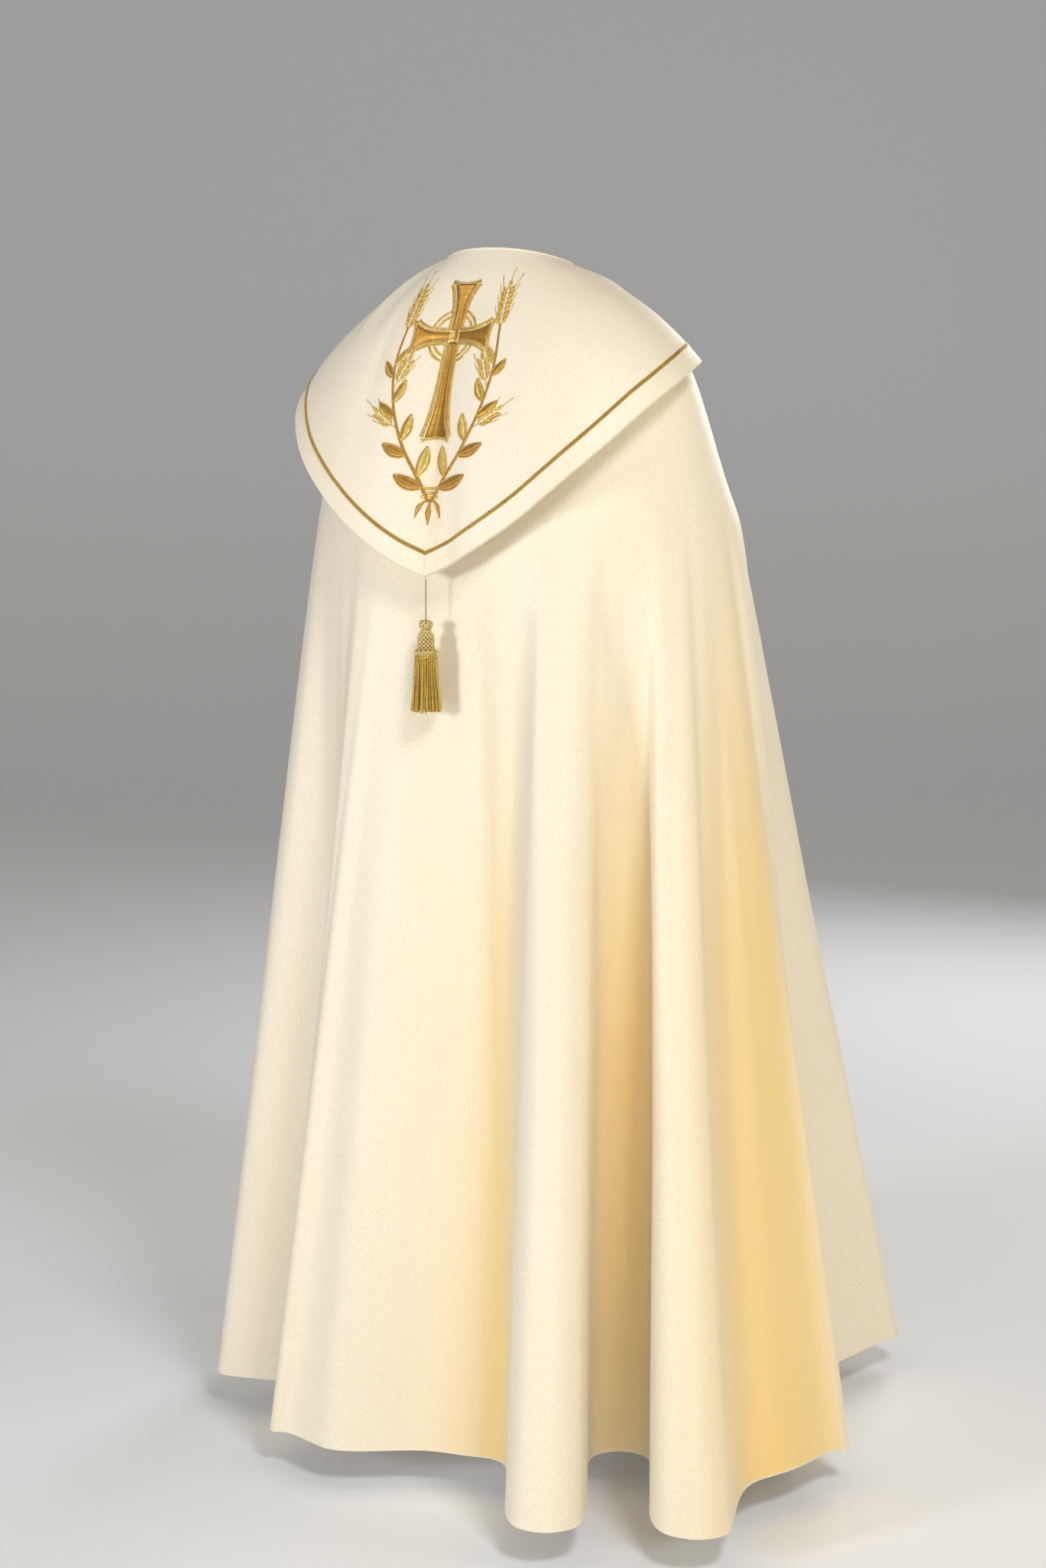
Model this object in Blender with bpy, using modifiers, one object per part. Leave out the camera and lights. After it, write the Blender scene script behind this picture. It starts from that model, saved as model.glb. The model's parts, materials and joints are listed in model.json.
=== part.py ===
"""A cope: a semicircular ceremonial cloak, clasped at the chest and worn, with a pointed shield-shaped hood on its back.

Metres, +Z up. The wearer faces -Y and their left is +X. The origin is the middle of the neckline at the height of
its centre back, where the wearer holds the garment up. A bearing is an angle round +Z from the centre back (+Y),
positive towards the wearer's left.
"""

import math

import bmesh
import bpy
import numpy as np
from mathutils import Vector

# Driving dimensions
DROP = 1.41
CLOTH = 0.0018
HOOD_CLOTH = 0.0012
SEAM_GAP = 0.0003
FRONT = 174.0
BODY_COLUMNS = 144
DOME_ROWS = 6
SKIRT_ROWS = 7
START_HANDLE = 0.10
END_HANDLE = 0.42
HOOD_FRONT = 162.0
HOOD_CLEAR_AT_NECK = 0.0022
HOOD_CLEAR = 0.0068
HOOD_COLUMNS_A_SIDE = 27
HOOD_ROWS_TO_BRAID = 6
FACING_PEEP = 0.002
BRAID_INSET = 0.022
BRAID_WIDTH = 0.0045
BRAID_THICKNESS = 0.0011
BINDING_RADIUS = 0.0026
BINDING_OUT = 0.0003
TASSEL_CORD = 0.0019
TASSEL_DROP = 0.047
STRAND = 0.0021
CLASP_LEVEL = 0.64
CLASP_BEARING = 165.0
CLASP_PLATE = 0.0014
CLASP_WIDTH = 0.032
CLASP_HEIGHT = 0.026
CLASP_WIRE = 0.0022

# The shoulders, a row for each bearing, the same on both sides: radius and height of the cloth at the neckline, at
# the crown of the shoulder, at the shoulder's tip and at the line from which it hangs free.
SHOULDER_COLUMNS = (
    "bearing", "neck_r", "neck_z", "crown_r", "crown_z", "tip_r", "tip_z", "hang_r", "hang_z",
)
SHOULDER_ROWS = (
    (0, 0.080, 0.000, 0.114, -0.050, 0.146, -0.150, 0.168, -0.290),
    (35, 0.083, -0.003, 0.124, -0.046, 0.176, -0.135, 0.205, -0.290),
    (65, 0.084, -0.010, 0.132, -0.042, 0.204, -0.118, 0.238, -0.290),
    (90, 0.081, -0.018, 0.134, -0.045, 0.216, -0.120, 0.256, -0.295),
    (120, 0.075, -0.037, 0.120, -0.070, 0.196, -0.148, 0.262, -0.300),
    (150, 0.073, -0.060, 0.104, -0.092, 0.156, -0.168, 0.232, -0.305),
    (174, 0.076, -0.072, 0.098, -0.104, 0.132, -0.175, 0.190, -0.310),
)

# The hem seen from above, a row for each crest (kind 1), valley (kind -1) and plain point (half_width 0) from the
# left front edge, round the back, to the right front edge. Bearing and radius place its tip, axis is the bearing
# that the fold points along, half_width the radius of its rounded end, and home the bearing on the shoulders that
# it hangs from.
FOLD_COLUMNS = ("name", "bearing", "radius", "axis", "half_width", "kind", "home")
FOLD_ROWS = (
    ("left edge", 168, 0.372, 168, 0.000, 1, 174),
    ("left edge valley", 161, 0.366, 164, 0.018, -1, 164),
    ("left front crest", 153, 0.470, 156, 0.028, 1, 152),
    ("left front valley", 142, 0.345, 146, 0.030, -1, 139),
    ("left elbow crest", 131, 0.510, 133, 0.044, 1, 122),
    ("left elbow valley", 117, 0.315, 118, 0.036, -1, 107),
    ("left side crest", 103, 0.455, 103, 0.044, 1, 94),
    ("left side valley", 89, 0.280, 88, 0.034, -1, 82),
    ("left tail crest", 76.5, 0.405, 73, 0.030, 1, 66),
    ("left tail valley", 63, 0.215, 68, 0.026, -1, 43),
    ("left back crest", 40, 0.320, 46, 0.014, 1, 24),
    ("back panel left", 22, 0.283, 22, 0.000, 1, 12),
    ("back panel middle", 4, 0.212, 4, 0.000, 1, -3),
    ("back panel right", -13, 0.205, -13, 0.000, 1, -18),
    ("back panel end", -25, 0.218, -20, 0.000, -1, -32),
    ("back flute", -34.4, 0.422, -30, 0.044, 1, -45),
    ("flute recess", -63.5, 0.217, -31, 0.037, -1, -61),
    ("quarter flute", -54.4, 0.483, -30, 0.050, 1, -77),
    ("quarter wall", -75, 0.389, -75, 0.000, 1, -87),
    ("quarter wall end", -86, 0.402, -86, 0.000, 1, -94),
    ("right side crest", -97, 0.430, -106, 0.016, 1, -102),
    ("right side valley", -121, 0.290, -112, 0.034, -1, -115),
    ("right elbow crest", -147.5, 0.577, -142, 0.040, 1, -132),
    ("right front valley", -153, 0.395, -148, 0.028, -1, -146),
    ("right front crest", -161.5, 0.465, -163, 0.026, 1, -160),
    ("right edge", -168, 0.372, -168, 0.000, 1, -174),
)

# The hood, a row for each bearing, the same on both sides: radius and height of its lower edge and of the point
# that its curve from the neckline leans towards.
HOOD_COLUMNS = ("bearing", "edge_r", "edge_z", "lean_r", "lean_z")
HOOD_ROWS = (
    (0, 0.210, -0.373, 0.176, -0.110),
    (12, 0.222, -0.352, 0.190, -0.105),
    (25, 0.234, -0.320, 0.202, -0.095),
    (45, 0.258, -0.250, 0.208, -0.075),
    (65, 0.266, -0.176, 0.200, -0.058),
    (90, 0.244, -0.128, 0.178, -0.050),
    (115, 0.200, -0.134, 0.154, -0.068),
    (140, 0.142, -0.130, 0.118, -0.084),
    (162, 0.100, -0.102, 0.090, -0.084),
)

# The tassel's turned head from its top down: how far below the cord's end, and the radius there.
HEAD_COLUMNS = ("below", "radius")
HEAD_ROWS = (
    (0.0000, 0.0034), (0.0018, 0.0060), (0.0047, 0.0070), (0.0076, 0.0060), (0.0098, 0.0046), (0.0120, 0.0052),
    (0.0155, 0.0078), (0.0230, 0.0096), (0.0325, 0.0102), (0.0345, 0.0121), (0.0425, 0.0121), (0.0436, 0.0142),
)

# The clasp's stud from its top down: the height above its plate, and the radius there.
STUD_COLUMNS = ("height", "radius")
STUD_ROWS = ((0.0056, 0.0), (0.0056, 0.0028), (0.0050, 0.0040), (0.0041, 0.0042), (0.0036, 0.0022), (0.0, 0.0022), (0.0, 0.0))

# The tassel's strands, a row for each ring of them: how many, its radius at the head and at the tips, and its length.
STRAND_COLUMNS = ("count", "root_r", "tip_r", "length")
STRAND_ROWS = ((26, 0.0124, 0.0174, 0.064), (18, 0.0091, 0.0128, 0.065), (10, 0.0057, 0.0080, 0.065), (4, 0.0022, 0.0030, 0.064))


def column(names, rows, name):
    """One column of a table as an array."""
    return np.array([row[names.index(name)] for row in rows], dtype=float)


def hermite(t, y0, y1, slope0, slope1):
    """A cubic from y0 to y1 as t runs from 0 to 1."""
    return (
        (2 * t**3 - 3 * t**2 + 1) * y0
        + (t**3 - 2 * t**2 + t) * slope0
        + (3 * t**2 - 2 * t**3) * y1
        + (t**3 - t**2) * slope1
    )


def smooth(at, xs, ys, level_start=True):
    """A smooth curve through a table's points, with the slopes of the neighbouring points."""
    slope = np.gradient(ys, xs)
    if level_start:
        slope[0] = 0.0
    at = np.clip(at, xs[0], xs[-1])
    i = np.clip(np.searchsorted(xs, at, side="right") - 1, 0, len(xs) - 2)
    width = xs[i + 1] - xs[i]
    return hermite((at - xs[i]) / width, ys[i], ys[i + 1], width * slope[i], width * slope[i + 1])


def polar(radius, bearing, height):
    """Points at a radius, a bearing in degrees and a height, as x, y, z."""
    b = np.radians(bearing)
    return np.stack(np.broadcast_arrays(radius * np.sin(b), radius * np.cos(b), height), axis=-1)


def spline(points, per_span):
    """A smooth open curve through points: centripetal Catmull-Rom."""
    p = np.vstack([2 * points[0] - points[1], points, 2 * points[-1] - points[-2]])
    knots = np.concatenate([[0], np.cumsum(np.linalg.norm(np.diff(p, axis=0), axis=1) ** 0.5)])
    out = []
    for i in range(1, len(p) - 2):
        t = np.linspace(knots[i], knots[i + 1], per_span, endpoint=False)[:, None]
        k0, k1, k2, k3 = knots[i - 1 : i + 3]
        a1 = ((k1 - t) * p[i - 1] + (t - k0) * p[i]) / (k1 - k0)
        a2 = ((k2 - t) * p[i] + (t - k1) * p[i + 1]) / (k2 - k1)
        a3 = ((k3 - t) * p[i + 1] + (t - k2) * p[i + 2]) / (k3 - k2)
        b1 = ((k2 - t) * a1 + (t - k0) * a2) / (k2 - k0)
        b2 = ((k3 - t) * a2 + (t - k1) * a3) / (k3 - k1)
        out.append(((k2 - t) * b1 + (t - k1) * b2) / (k2 - k1))
    return np.vstack(out + [points[-1:]])


def fold_end(row):
    """One fold's rounded end in plan: its tip between two flanks, or the tip alone."""
    fold = dict(zip(FOLD_COLUMNS, row))
    tip = polar(fold["radius"], fold["bearing"], 0.0)[:2]
    if not fold["half_width"]:
        return [tip]
    out = polar(1.0, fold["axis"], 0.0)[:2]
    to_left = np.array([out[1], -out[0]])
    centre = tip - fold["kind"] * fold["half_width"] * out
    return [centre + fold["half_width"] * to_left, tip, centre - fold["half_width"] * to_left]


def hem_plan(columns):
    """The hem in plan from the left front edge to the right, its points closer where it turns, and the bearing on
    the shoulders that each hangs from."""
    points, tips = [], []
    for row in FOLD_ROWS:
        end = fold_end(row)
        tips.append(len(points) + len(end) // 2)
        points += end
    per_span = 24
    line = spline(np.array(points), per_span)
    arc = np.concatenate([[0], np.cumsum(np.linalg.norm(np.diff(line, axis=0), axis=1))])
    home = np.interp(arc, arc[np.array(tips) * per_span], column(FOLD_COLUMNS, FOLD_ROWS, "home"))
    reach = 60
    padded = np.concatenate([2 * home[0] - home[reach:0:-1], home, 2 * home[-1] - home[-2 : -reach - 2 : -1]])
    window = np.hanning(2 * reach + 1)
    home = np.convolve(padded, window / window.sum(), "valid")
    dx, dy = np.diff(line, axis=0).T
    turn = np.concatenate([[0, 0], np.abs(np.diff(np.unwrap(np.arctan2(dy, dx))))])
    metres_for_a_radian = 0.05
    measure = arc + metres_for_a_radian * np.cumsum(turn)
    at = np.linspace(0, measure[-1], columns + 1)
    return np.stack([np.interp(at, measure, line[:, k]) for k in (0, 1)], axis=1), np.interp(at, measure, home)


def shoulder(name, bearing):
    """One column of the shoulders' table at a bearing."""
    return smooth(np.abs(bearing), column(SHOULDER_COLUMNS, SHOULDER_ROWS, "bearing"), column(SHOULDER_COLUMNS, SHOULDER_ROWS, name))


def dome_profile(bearing, v):
    """Radius and height of the cloth over the shoulders at a bearing, from the neckline (v 0) to the hang line (v 1)."""
    bearing, v = np.broadcast_arrays(np.asarray(bearing, float), np.asarray(v, float))
    at = np.clip(v, 0, 1) * 3
    i = np.clip(at.astype(int), 0, 2)
    profile = []
    for letter in ("r", "z"):
        level = np.array([shoulder(f"{name}_{letter}", bearing) for name in ("neck", "crown", "tip", "hang")])

        def pick(k):
            return np.take_along_axis(level, np.clip(k, 0, 3)[None], 0)[0]

        slope0 = (pick(i + 1) - pick(i - 1)) / np.where(i > 0, 2, 1)
        slope1 = (pick(i + 2) - pick(i)) / np.where(i < 2, 2, 1)
        profile.append(hermite(at - i, pick(i), pick(i + 1), slope0, slope1))
    return profile


def shoulder_point(bearing, v):
    """A point of the cloth over the shoulders."""
    r, z = dome_profile(bearing, v)
    return polar(r, bearing, z)


def on_cloth(bearing, v, lift):
    """Points a distance outside the cloth of the shoulders."""
    down = shoulder_point(bearing, np.minimum(v + 0.01, 1)) - shoulder_point(bearing, np.maximum(v - 0.01, 0))
    out = np.cross(down, shoulder_point(bearing - 0.5, v) - shoulder_point(bearing + 0.5, v))
    return shoulder_point(bearing, v) + lift * out / np.linalg.norm(out, axis=-1)[..., None]


def cope_rows(columns, dome_rows, skirt_rows):
    """The cope's face as rows of points, from the neckline over the shoulders and down to its level hem."""
    plan, home = hem_plan(columns)
    rows = [on_cloth(home, k / dome_rows, 0.0) for k in range(dome_rows + 1)]
    hang = rows[-1]
    down = hang - on_cloth(home, 0.98, 0.0)
    down /= np.linalg.norm(down, axis=1)[:, None]
    hem = np.column_stack([plan, np.full(len(plan), -DROP)])
    length = np.linalg.norm(hem - hang, axis=1)[:, None]
    first, second = hang + START_HANDLE * length * down, hem - END_HANDLE * (hem - hang)
    for k in range(1, skirt_rows + 1):
        t = k / skirt_rows
        rows.append((1 - t) ** 3 * hang + 3 * (1 - t) ** 2 * t * first + 3 * (1 - t) * t**2 * second + t**3 * hem)
    return np.array(rows)


def hood_profile(bearing, samples=120):
    """The hood's curve at a bearing from the neckline to its edge, kept clear of the shoulders, as rows of x, y, z."""
    at = column(HOOD_COLUMNS, HOOD_ROWS, "bearing")
    edge_r, edge_z, lean_r, lean_z = (
        smooth(abs(bearing), at, column(HOOD_COLUMNS, HOOD_ROWS, name), False) for name in HOOD_COLUMNS[1:]
    )
    share = np.linspace(0, 1, samples)
    under = np.stack(dome_profile(bearing, share), axis=1)
    slope = np.gradient(under, axis=0)
    out = np.column_stack([-slope[:, 1], slope[:, 0]]) / np.linalg.norm(slope, axis=1)[:, None]
    t = share[:, None]
    line = (1 - t) ** 2 * under[0] + 2 * t * (1 - t) * np.array([lean_r, lean_z]) + t**2 * np.array([edge_r, edge_z])
    near = np.argmin(np.linalg.norm(line[:, None] - under[None], axis=2), axis=1)
    off = np.sum((line - under[near]) * out[near], axis=1)
    soft, ease = 0.001, np.clip(share / 0.25, 0, 1)
    least = HOOD_CLEAR_AT_NECK + (HOOD_CLEAR - HOOD_CLEAR_AT_NECK) * ease
    lift = least + soft * np.log1p(np.exp((off - least) / soft))
    line += (lift - off)[:, None] * out[near]
    return polar(line[:, 0], bearing, line[:, 1])


def hood_rows(columns_a_side, rows_to_braid, rows_past_braid=1):
    """The hood's face as rows of points from the neckline to its edge. Two rows near the edge are the braid's."""
    bearings = np.linspace(HOOD_FRONT, -HOOD_FRONT, 2 * columns_a_side + 1)
    profiles = [hood_profile(b) for b in bearings]
    edge = np.array([p[-1] for p in profiles])
    ahead = np.diff(edge, axis=0)
    ahead /= np.linalg.norm(ahead, axis=1)[:, None]
    columns = []
    for k, profile in enumerate(profiles):
        beside = ahead[min(k, len(ahead) - 1)] if k == columns_a_side else ahead[max(k - 1, 0)] + ahead[min(k, len(ahead) - 1)]
        beside = beside / np.linalg.norm(beside)
        down = profile[-1] - profile[-6]
        down /= np.linalg.norm(down)
        slant = max(np.linalg.norm(np.cross(down, beside)), 0.6)
        arc = np.concatenate([[0], np.cumsum(np.linalg.norm(np.diff(profile, axis=0), axis=1))])
        outer, inner = arc[-1] - BRAID_INSET / slant, arc[-1] - (BRAID_INSET + BRAID_WIDTH) / slant
        at = np.concatenate([np.linspace(0, inner, rows_to_braid + 1), np.linspace(outer, arc[-1], rows_past_braid + 1)])
        columns.append(np.stack([np.interp(at, arc, profile[:, j]) for j in range(3)], axis=1))
    return np.array(columns).transpose(1, 0, 2)


def outward(points):
    """The outward directions of a face that is given as rows of points."""
    down, beside = np.gradient(points, axis=0), np.gradient(points, axis=1)
    out = np.cross(down, beside)
    return out / np.linalg.norm(out, axis=2)[..., None]


# Solids


def new_mesh(name):
    """An empty mesh object in the cope's collection."""
    obj = bpy.data.objects.new(name, bpy.data.meshes.new(name))
    cope.objects.link(obj)
    return obj


def finish(obj, material, smooth_under=50.0):
    """A mesh object's material and shading."""
    obj.data.materials.append(material)
    if obj.type == "MESH":
        obj.data.shade_smooth()
        obj.data.set_sharp_from_angle(angle=math.radians(smooth_under))
    return obj


def cloth(name, points, thickness, material):
    """A closed sheet whose outer face is given as rows of points."""
    rows, columns = points.shape[:2]
    obj = new_mesh(name)
    bm = bmesh.new()
    bmesh.ops.create_grid(bm, x_segments=rows - 1, y_segments=columns - 1, size=1.0)
    bm.verts.ensure_lookup_table()
    for vert in bm.verts:
        row, col = round((vert.co.x + 1) / 2 * (rows - 1)), round((vert.co.y + 1) / 2 * (columns - 1))
        vert.co = Vector(points[row, col])
    bm.to_mesh(obj.data)
    bm.free()
    solid = obj.modifiers.new("Cloth thickness", "SOLIDIFY")
    solid.thickness, solid.offset = thickness, -1.0
    return finish(obj, material)


def wire(name, points, radius, material, sides=2):
    """A tube with flat caps along points."""
    curve = bpy.data.curves.new(name, "CURVE")
    curve.dimensions = "3D"
    curve.bevel_depth, curve.bevel_resolution, curve.use_fill_caps = radius, sides, True
    curve.resolution_u, curve.render_resolution_u = 1, 0
    for line in points if np.ndim(points) == 3 else [points]:
        path = curve.splines.new("POLY")
        path.points.add(len(line) - 1)
        for point, co in zip(path.points, line):
            point.co = (*co, 1.0)
    obj = bpy.data.objects.new(name, curve)
    cope.objects.link(obj)
    return finish(obj, material)


def turned(name, profile, material, steps=16):
    """A solid turned about its own Z axis from rows of radius and height that run down its outer side."""
    obj = new_mesh(name)
    bm = bmesh.new()
    verts = [bm.verts.new((r, 0, z)) for r, z in profile]
    for a, b in zip(verts, verts[1:]):
        bm.edges.new((a, b))
    bm.to_mesh(obj.data)
    bm.free()
    screw = obj.modifiers.new("Turned", "SCREW")
    screw.steps = screw.render_steps = steps
    screw.use_merge_vertices, screw.merge_threshold = True, 0.00005
    screw.use_smooth_shade = True
    return finish(obj, material)


def paint(name, colour, roughness, metallic=0.0):
    """A plain material."""
    material = bpy.data.materials.new(name)
    material.use_nodes = True
    shader = material.node_tree.nodes["Principled BSDF"]
    shader.inputs["Base Color"].default_value = (*colour, 1.0)
    shader.inputs["Roughness"].default_value = roughness
    shader.inputs["Metallic"].default_value = metallic
    return material


for old in list(bpy.data.objects):
    bpy.data.objects.remove(old, do_unlink=True)
cope = bpy.data.collections.new("Cope")
bpy.context.scene.collection.children.link(cope)
ivory = paint("Ivory cloth", (0.86, 0.80, 0.66), 0.55)
ivory_lining = paint("Ivory hood facing", (0.80, 0.74, 0.60), 0.60)
gold_braid = paint("Gold braid", (0.55, 0.38, 0.10), 0.40, 0.6)
gold_thread = paint("Gold tassel thread", (0.58, 0.40, 0.11), 0.45, 0.5)
brass = paint("Brass clasp", (0.72, 0.55, 0.24), 0.30, 1.0)

# The body: one semicircle of cloth
cloth("cope_body", cope_rows(BODY_COLUMNS, DOME_ROWS, SKIRT_ROWS), CLOTH, ivory)

# The hood, the facing that shows under its edge, and its braid
hood = hood_rows(HOOD_COLUMNS_A_SIDE, HOOD_ROWS_TO_BRAID)
hood_out = outward(hood)
cloth("hood", hood, HOOD_CLOTH, ivory)
facing = (hood - (HOOD_CLOTH + SEAM_GAP) * hood_out)[-4:].copy()
edge_run = hood[-1] - hood[-2]
facing[-1] += FACING_PEEP * edge_run / np.linalg.norm(edge_run, axis=1)[:, None]
cloth("hood_facing", facing, HOOD_CLOTH, ivory_lining)
braid = (hood + (SEAM_GAP + BRAID_THICKNESS) * hood_out)[-3:-1]
cloth("hood_braid", braid, BRAID_THICKNESS, gold_braid)

# The binding that closes the neckline, over the top edges of the body and the hood
binding_bearings = np.linspace(FRONT, -FRONT, 61)
under_binding = on_cloth(binding_bearings, 0.0, BINDING_OUT)
up_the_cloth = under_binding - on_cloth(binding_bearings, 0.02, BINDING_OUT)
up_the_cloth /= np.linalg.norm(up_the_cloth, axis=1)[:, None]
wire("neck_binding", under_binding + (BINDING_RADIUS + 2 * SEAM_GAP) * up_the_cloth, BINDING_RADIUS, ivory)

# The tassel on its cord, from the hood's point
point_of_hood = facing[-1, HOOD_COLUMNS_A_SIDE] - HOOD_CLOTH / 2 * hood_out[-1, HOOD_COLUMNS_A_SIDE]
cord_top = point_of_hood - np.array([0.0, 0.0, 2 * SEAM_GAP])
cord_end = cord_top - np.array([0.0, 0.0, TASSEL_DROP])
wire("tassel_cord", np.linspace(cord_top, cord_end, 11), TASSEL_CORD / 2, gold_thread)

head = [(r, -below) for below, r in HEAD_ROWS]
tassel = turned("tassel", [(0.0, 0.0)] + head + [(0.0, head[-1][1])], gold_thread)
tassel.location = cord_end - np.array([0.0, 0.0, SEAM_GAP])
strands, head_foot, root_depth = [], head[-1][1], 0.004
for count, root_r, tip_r, length in STRAND_ROWS:
    for k in range(count):
        angle = 360 * (k + 0.5) / count
        sway = 1.5 * math.sin(5.0 * k + 40 * root_r)
        uneven = 0.002 * math.sin(7.0 * k + 90 * root_r)
        strands.append(
            [
                polar(root_r, angle, head_foot + root_depth),
                polar(root_r * 0.55 + tip_r * 0.45, angle + sway, head_foot - 0.45 * length),
                polar(tip_r, angle - sway, head_foot - length - uneven),
            ]
        )
tufts = wire("tassel_tufts", np.array(strands), STRAND / 2, gold_thread, 0)
tufts_mesh = bpy.data.meshes.new_from_object(tufts.evaluated_get(bpy.context.evaluated_depsgraph_get()))
bm = bmesh.new()
bm.from_mesh(tufts_mesh)
bmesh.ops.remove_doubles(bm, verts=bm.verts, dist=0.00002)
bmesh.ops.recalc_face_normals(bm, faces=bm.faces)
bm.to_mesh(tufts_mesh)
bm.free()
bpy.data.objects.remove(tufts)
guides = bpy.data.collections.new("Guides")
bpy.context.scene.collection.children.link(guides)
tufts = bpy.data.objects.new("tassel_tufts", tufts_mesh)
guides.objects.link(tufts)
tufts.location = tassel.location
tufts.hide_render, tufts.display_type = True, "WIRE"
fuse = tassel.modifiers.new("Strands fused into the head", "BOOLEAN")
fuse.operation, fuse.solver, fuse.object = "UNION", "EXACT", tufts

# The clasp: two plates sewn on the fronts, a stud on the left one, and a wire hook from the right one round the stud


def on_fronts(across, along, lift):
    """Points outside the fronts, by distances left of the middle of the chest, down from the clasp's level and out."""
    radius, _ = dome_profile(FRONT, CLASP_LEVEL)
    column_length = 0.30
    away = np.degrees(np.asarray(across, float) / radius)
    points = on_cloth(180.0 - np.abs(away), CLASP_LEVEL + np.asarray(along, float) / column_length, lift)
    points[..., 0] *= np.where(away < 0, -1.0, 1.0)
    return points


def round_cornered(steps):
    """A square grid of pairs from -1 to 1, its corners drawn in to a rounded outline."""
    u, w = np.meshgrid(np.linspace(-1, 1, steps), np.linspace(-1, 1, steps), indexing="ij")
    return u * np.sqrt(1 - 0.32 * w**2), w * np.sqrt(1 - 0.32 * u**2)


plate_middle = math.radians(180.0 - CLASP_BEARING) * float(dome_profile(FRONT, CLASP_LEVEL)[0])
plate_down, plate_across = round_cornered(7)
plate_top = 2 * SEAM_GAP + CLASP_PLATE
for side, name in ((1, "clasp_plate_left"), (-1, "clasp_plate_right")):
    face = on_fronts(side * plate_middle + plate_across * CLASP_WIDTH / 2, plate_down * CLASP_HEIGHT / 2, plate_top)
    cloth(name, face, CLASP_PLATE, brass)

stud_foot = on_fronts(plate_middle, 0.0, plate_top + SEAM_GAP)
stud_out = Vector(on_fronts(plate_middle, 0.0, 0.02) - on_fronts(plate_middle, 0.0, 0.0)).normalized()
stud = turned("clasp_stud", [(radius, height) for height, radius in STUD_ROWS], brass, 12)
stud.location = stud_foot
stud.rotation_mode = "QUATERNION"
stud.rotation_quaternion = Vector((0, 0, 1)).rotation_difference(stud_out)

bend = STUD_ROWS[-2][1] + 2 * SEAM_GAP + CLASP_WIRE / 2
turn = np.radians(np.linspace(-90, 170, 14))
on_plate = CLASP_WIDTH / 4 * np.array([-1, 0, 1, 2])
shank = np.concatenate([on_plate - plate_middle, plate_middle - on_plate[:0:-1]])
wire_lift = plate_top + 1.5 * SEAM_GAP + CLASP_WIRE / 2
straight = spline(on_fronts(shank, bend, wire_lift), 3)
round_stud = on_fronts(plate_middle + bend * np.cos(turn), -bend * np.sin(turn), wire_lift)
wire("clasp_hook", np.vstack([straight[:-1], round_stud]), CLASP_WIRE / 2, brass)
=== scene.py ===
# %% [markdown]
# # Dressing a cope in Blender
# A cope is a semicircular cloak. Worn, it hangs from the shoulders in long soft folds, with a shield-
# shaped hood on its back. This notebook takes the plain solids of the cope as a fixed frame and builds
# the cloth, the gold work and the brass around them. We start by loading that frame, because every later
# piece has to sit where a solid says.

import json
import math

import bpy
import numpy as np
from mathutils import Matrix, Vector

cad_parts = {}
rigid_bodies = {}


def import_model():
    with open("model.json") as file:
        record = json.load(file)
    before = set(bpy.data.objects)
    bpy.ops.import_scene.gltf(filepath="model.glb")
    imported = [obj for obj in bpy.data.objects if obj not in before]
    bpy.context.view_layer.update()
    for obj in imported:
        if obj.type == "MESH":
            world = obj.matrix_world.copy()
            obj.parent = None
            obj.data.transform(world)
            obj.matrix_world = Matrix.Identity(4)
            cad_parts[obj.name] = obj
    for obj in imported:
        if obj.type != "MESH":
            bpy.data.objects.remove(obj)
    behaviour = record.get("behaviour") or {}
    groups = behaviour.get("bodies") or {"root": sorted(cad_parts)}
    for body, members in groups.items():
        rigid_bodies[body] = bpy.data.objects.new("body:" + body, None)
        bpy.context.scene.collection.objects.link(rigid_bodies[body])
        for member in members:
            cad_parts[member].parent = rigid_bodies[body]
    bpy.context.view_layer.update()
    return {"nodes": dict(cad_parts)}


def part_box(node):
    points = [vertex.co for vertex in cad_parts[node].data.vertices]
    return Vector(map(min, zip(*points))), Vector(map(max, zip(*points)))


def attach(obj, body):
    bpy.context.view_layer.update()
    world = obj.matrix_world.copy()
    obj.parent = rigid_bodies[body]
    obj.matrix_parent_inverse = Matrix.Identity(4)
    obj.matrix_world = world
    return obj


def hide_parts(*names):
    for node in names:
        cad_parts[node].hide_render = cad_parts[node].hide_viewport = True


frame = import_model()
print("solids:", sorted(frame["nodes"]))

# %% [markdown]
# ## Camera
# The photograph looks at the back of the cope from a little to the wearer's right, through a 60 mm lens
# from about three metres. We could aim with a Track To constraint, but a direction worked out once is
# easier to check: it is level, turned 30 degrees from straight behind, then tipped down by a few degrees.

# %% Camera
LENS = 60.0
TURN = math.radians(210.0)
TIP = math.radians(6.9)
CAMERA_DISTANCE = 3.17
CAMERA_ASIDE = 0.007
CAMERA_HEIGHT = -0.25
picture_right = Vector((math.cos(TURN), math.sin(TURN), 0.0))
level_ahead = Vector((-math.sin(TURN), math.cos(TURN), 0.0))
camera = bpy.data.objects.new("camera", bpy.data.cameras.new("camera"))
bpy.context.scene.collection.objects.link(camera)
camera.data.lens = LENS
camera.location = CAMERA_ASIDE * picture_right - CAMERA_DISTANCE * level_ahead
camera.location.z = CAMERA_HEIGHT
aim = math.cos(TIP) * level_ahead - math.sin(TIP) * Vector((0, 0, 1))
camera.rotation_mode = "QUATERNION"
camera.rotation_quaternion = aim.to_track_quat("-Z", "Y")
bpy.context.scene.camera = camera
print("camera at", [round(x, 3) for x in camera.location])

# %% [markdown]
# ## Light
# The tassel throws two soft shadows in the photograph, one to its right and one below it. So a key lamp
# stands to the left of the camera and a top lamp hangs above it. Two weaker warm lamps, low in front and
# to the right, stand in for light that comes back from the floor and the folds, and one behind fills the
# far side. Area lamps are the right kind: their size sets how soft a shadow is. A pale world fills what
# they leave.


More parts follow.
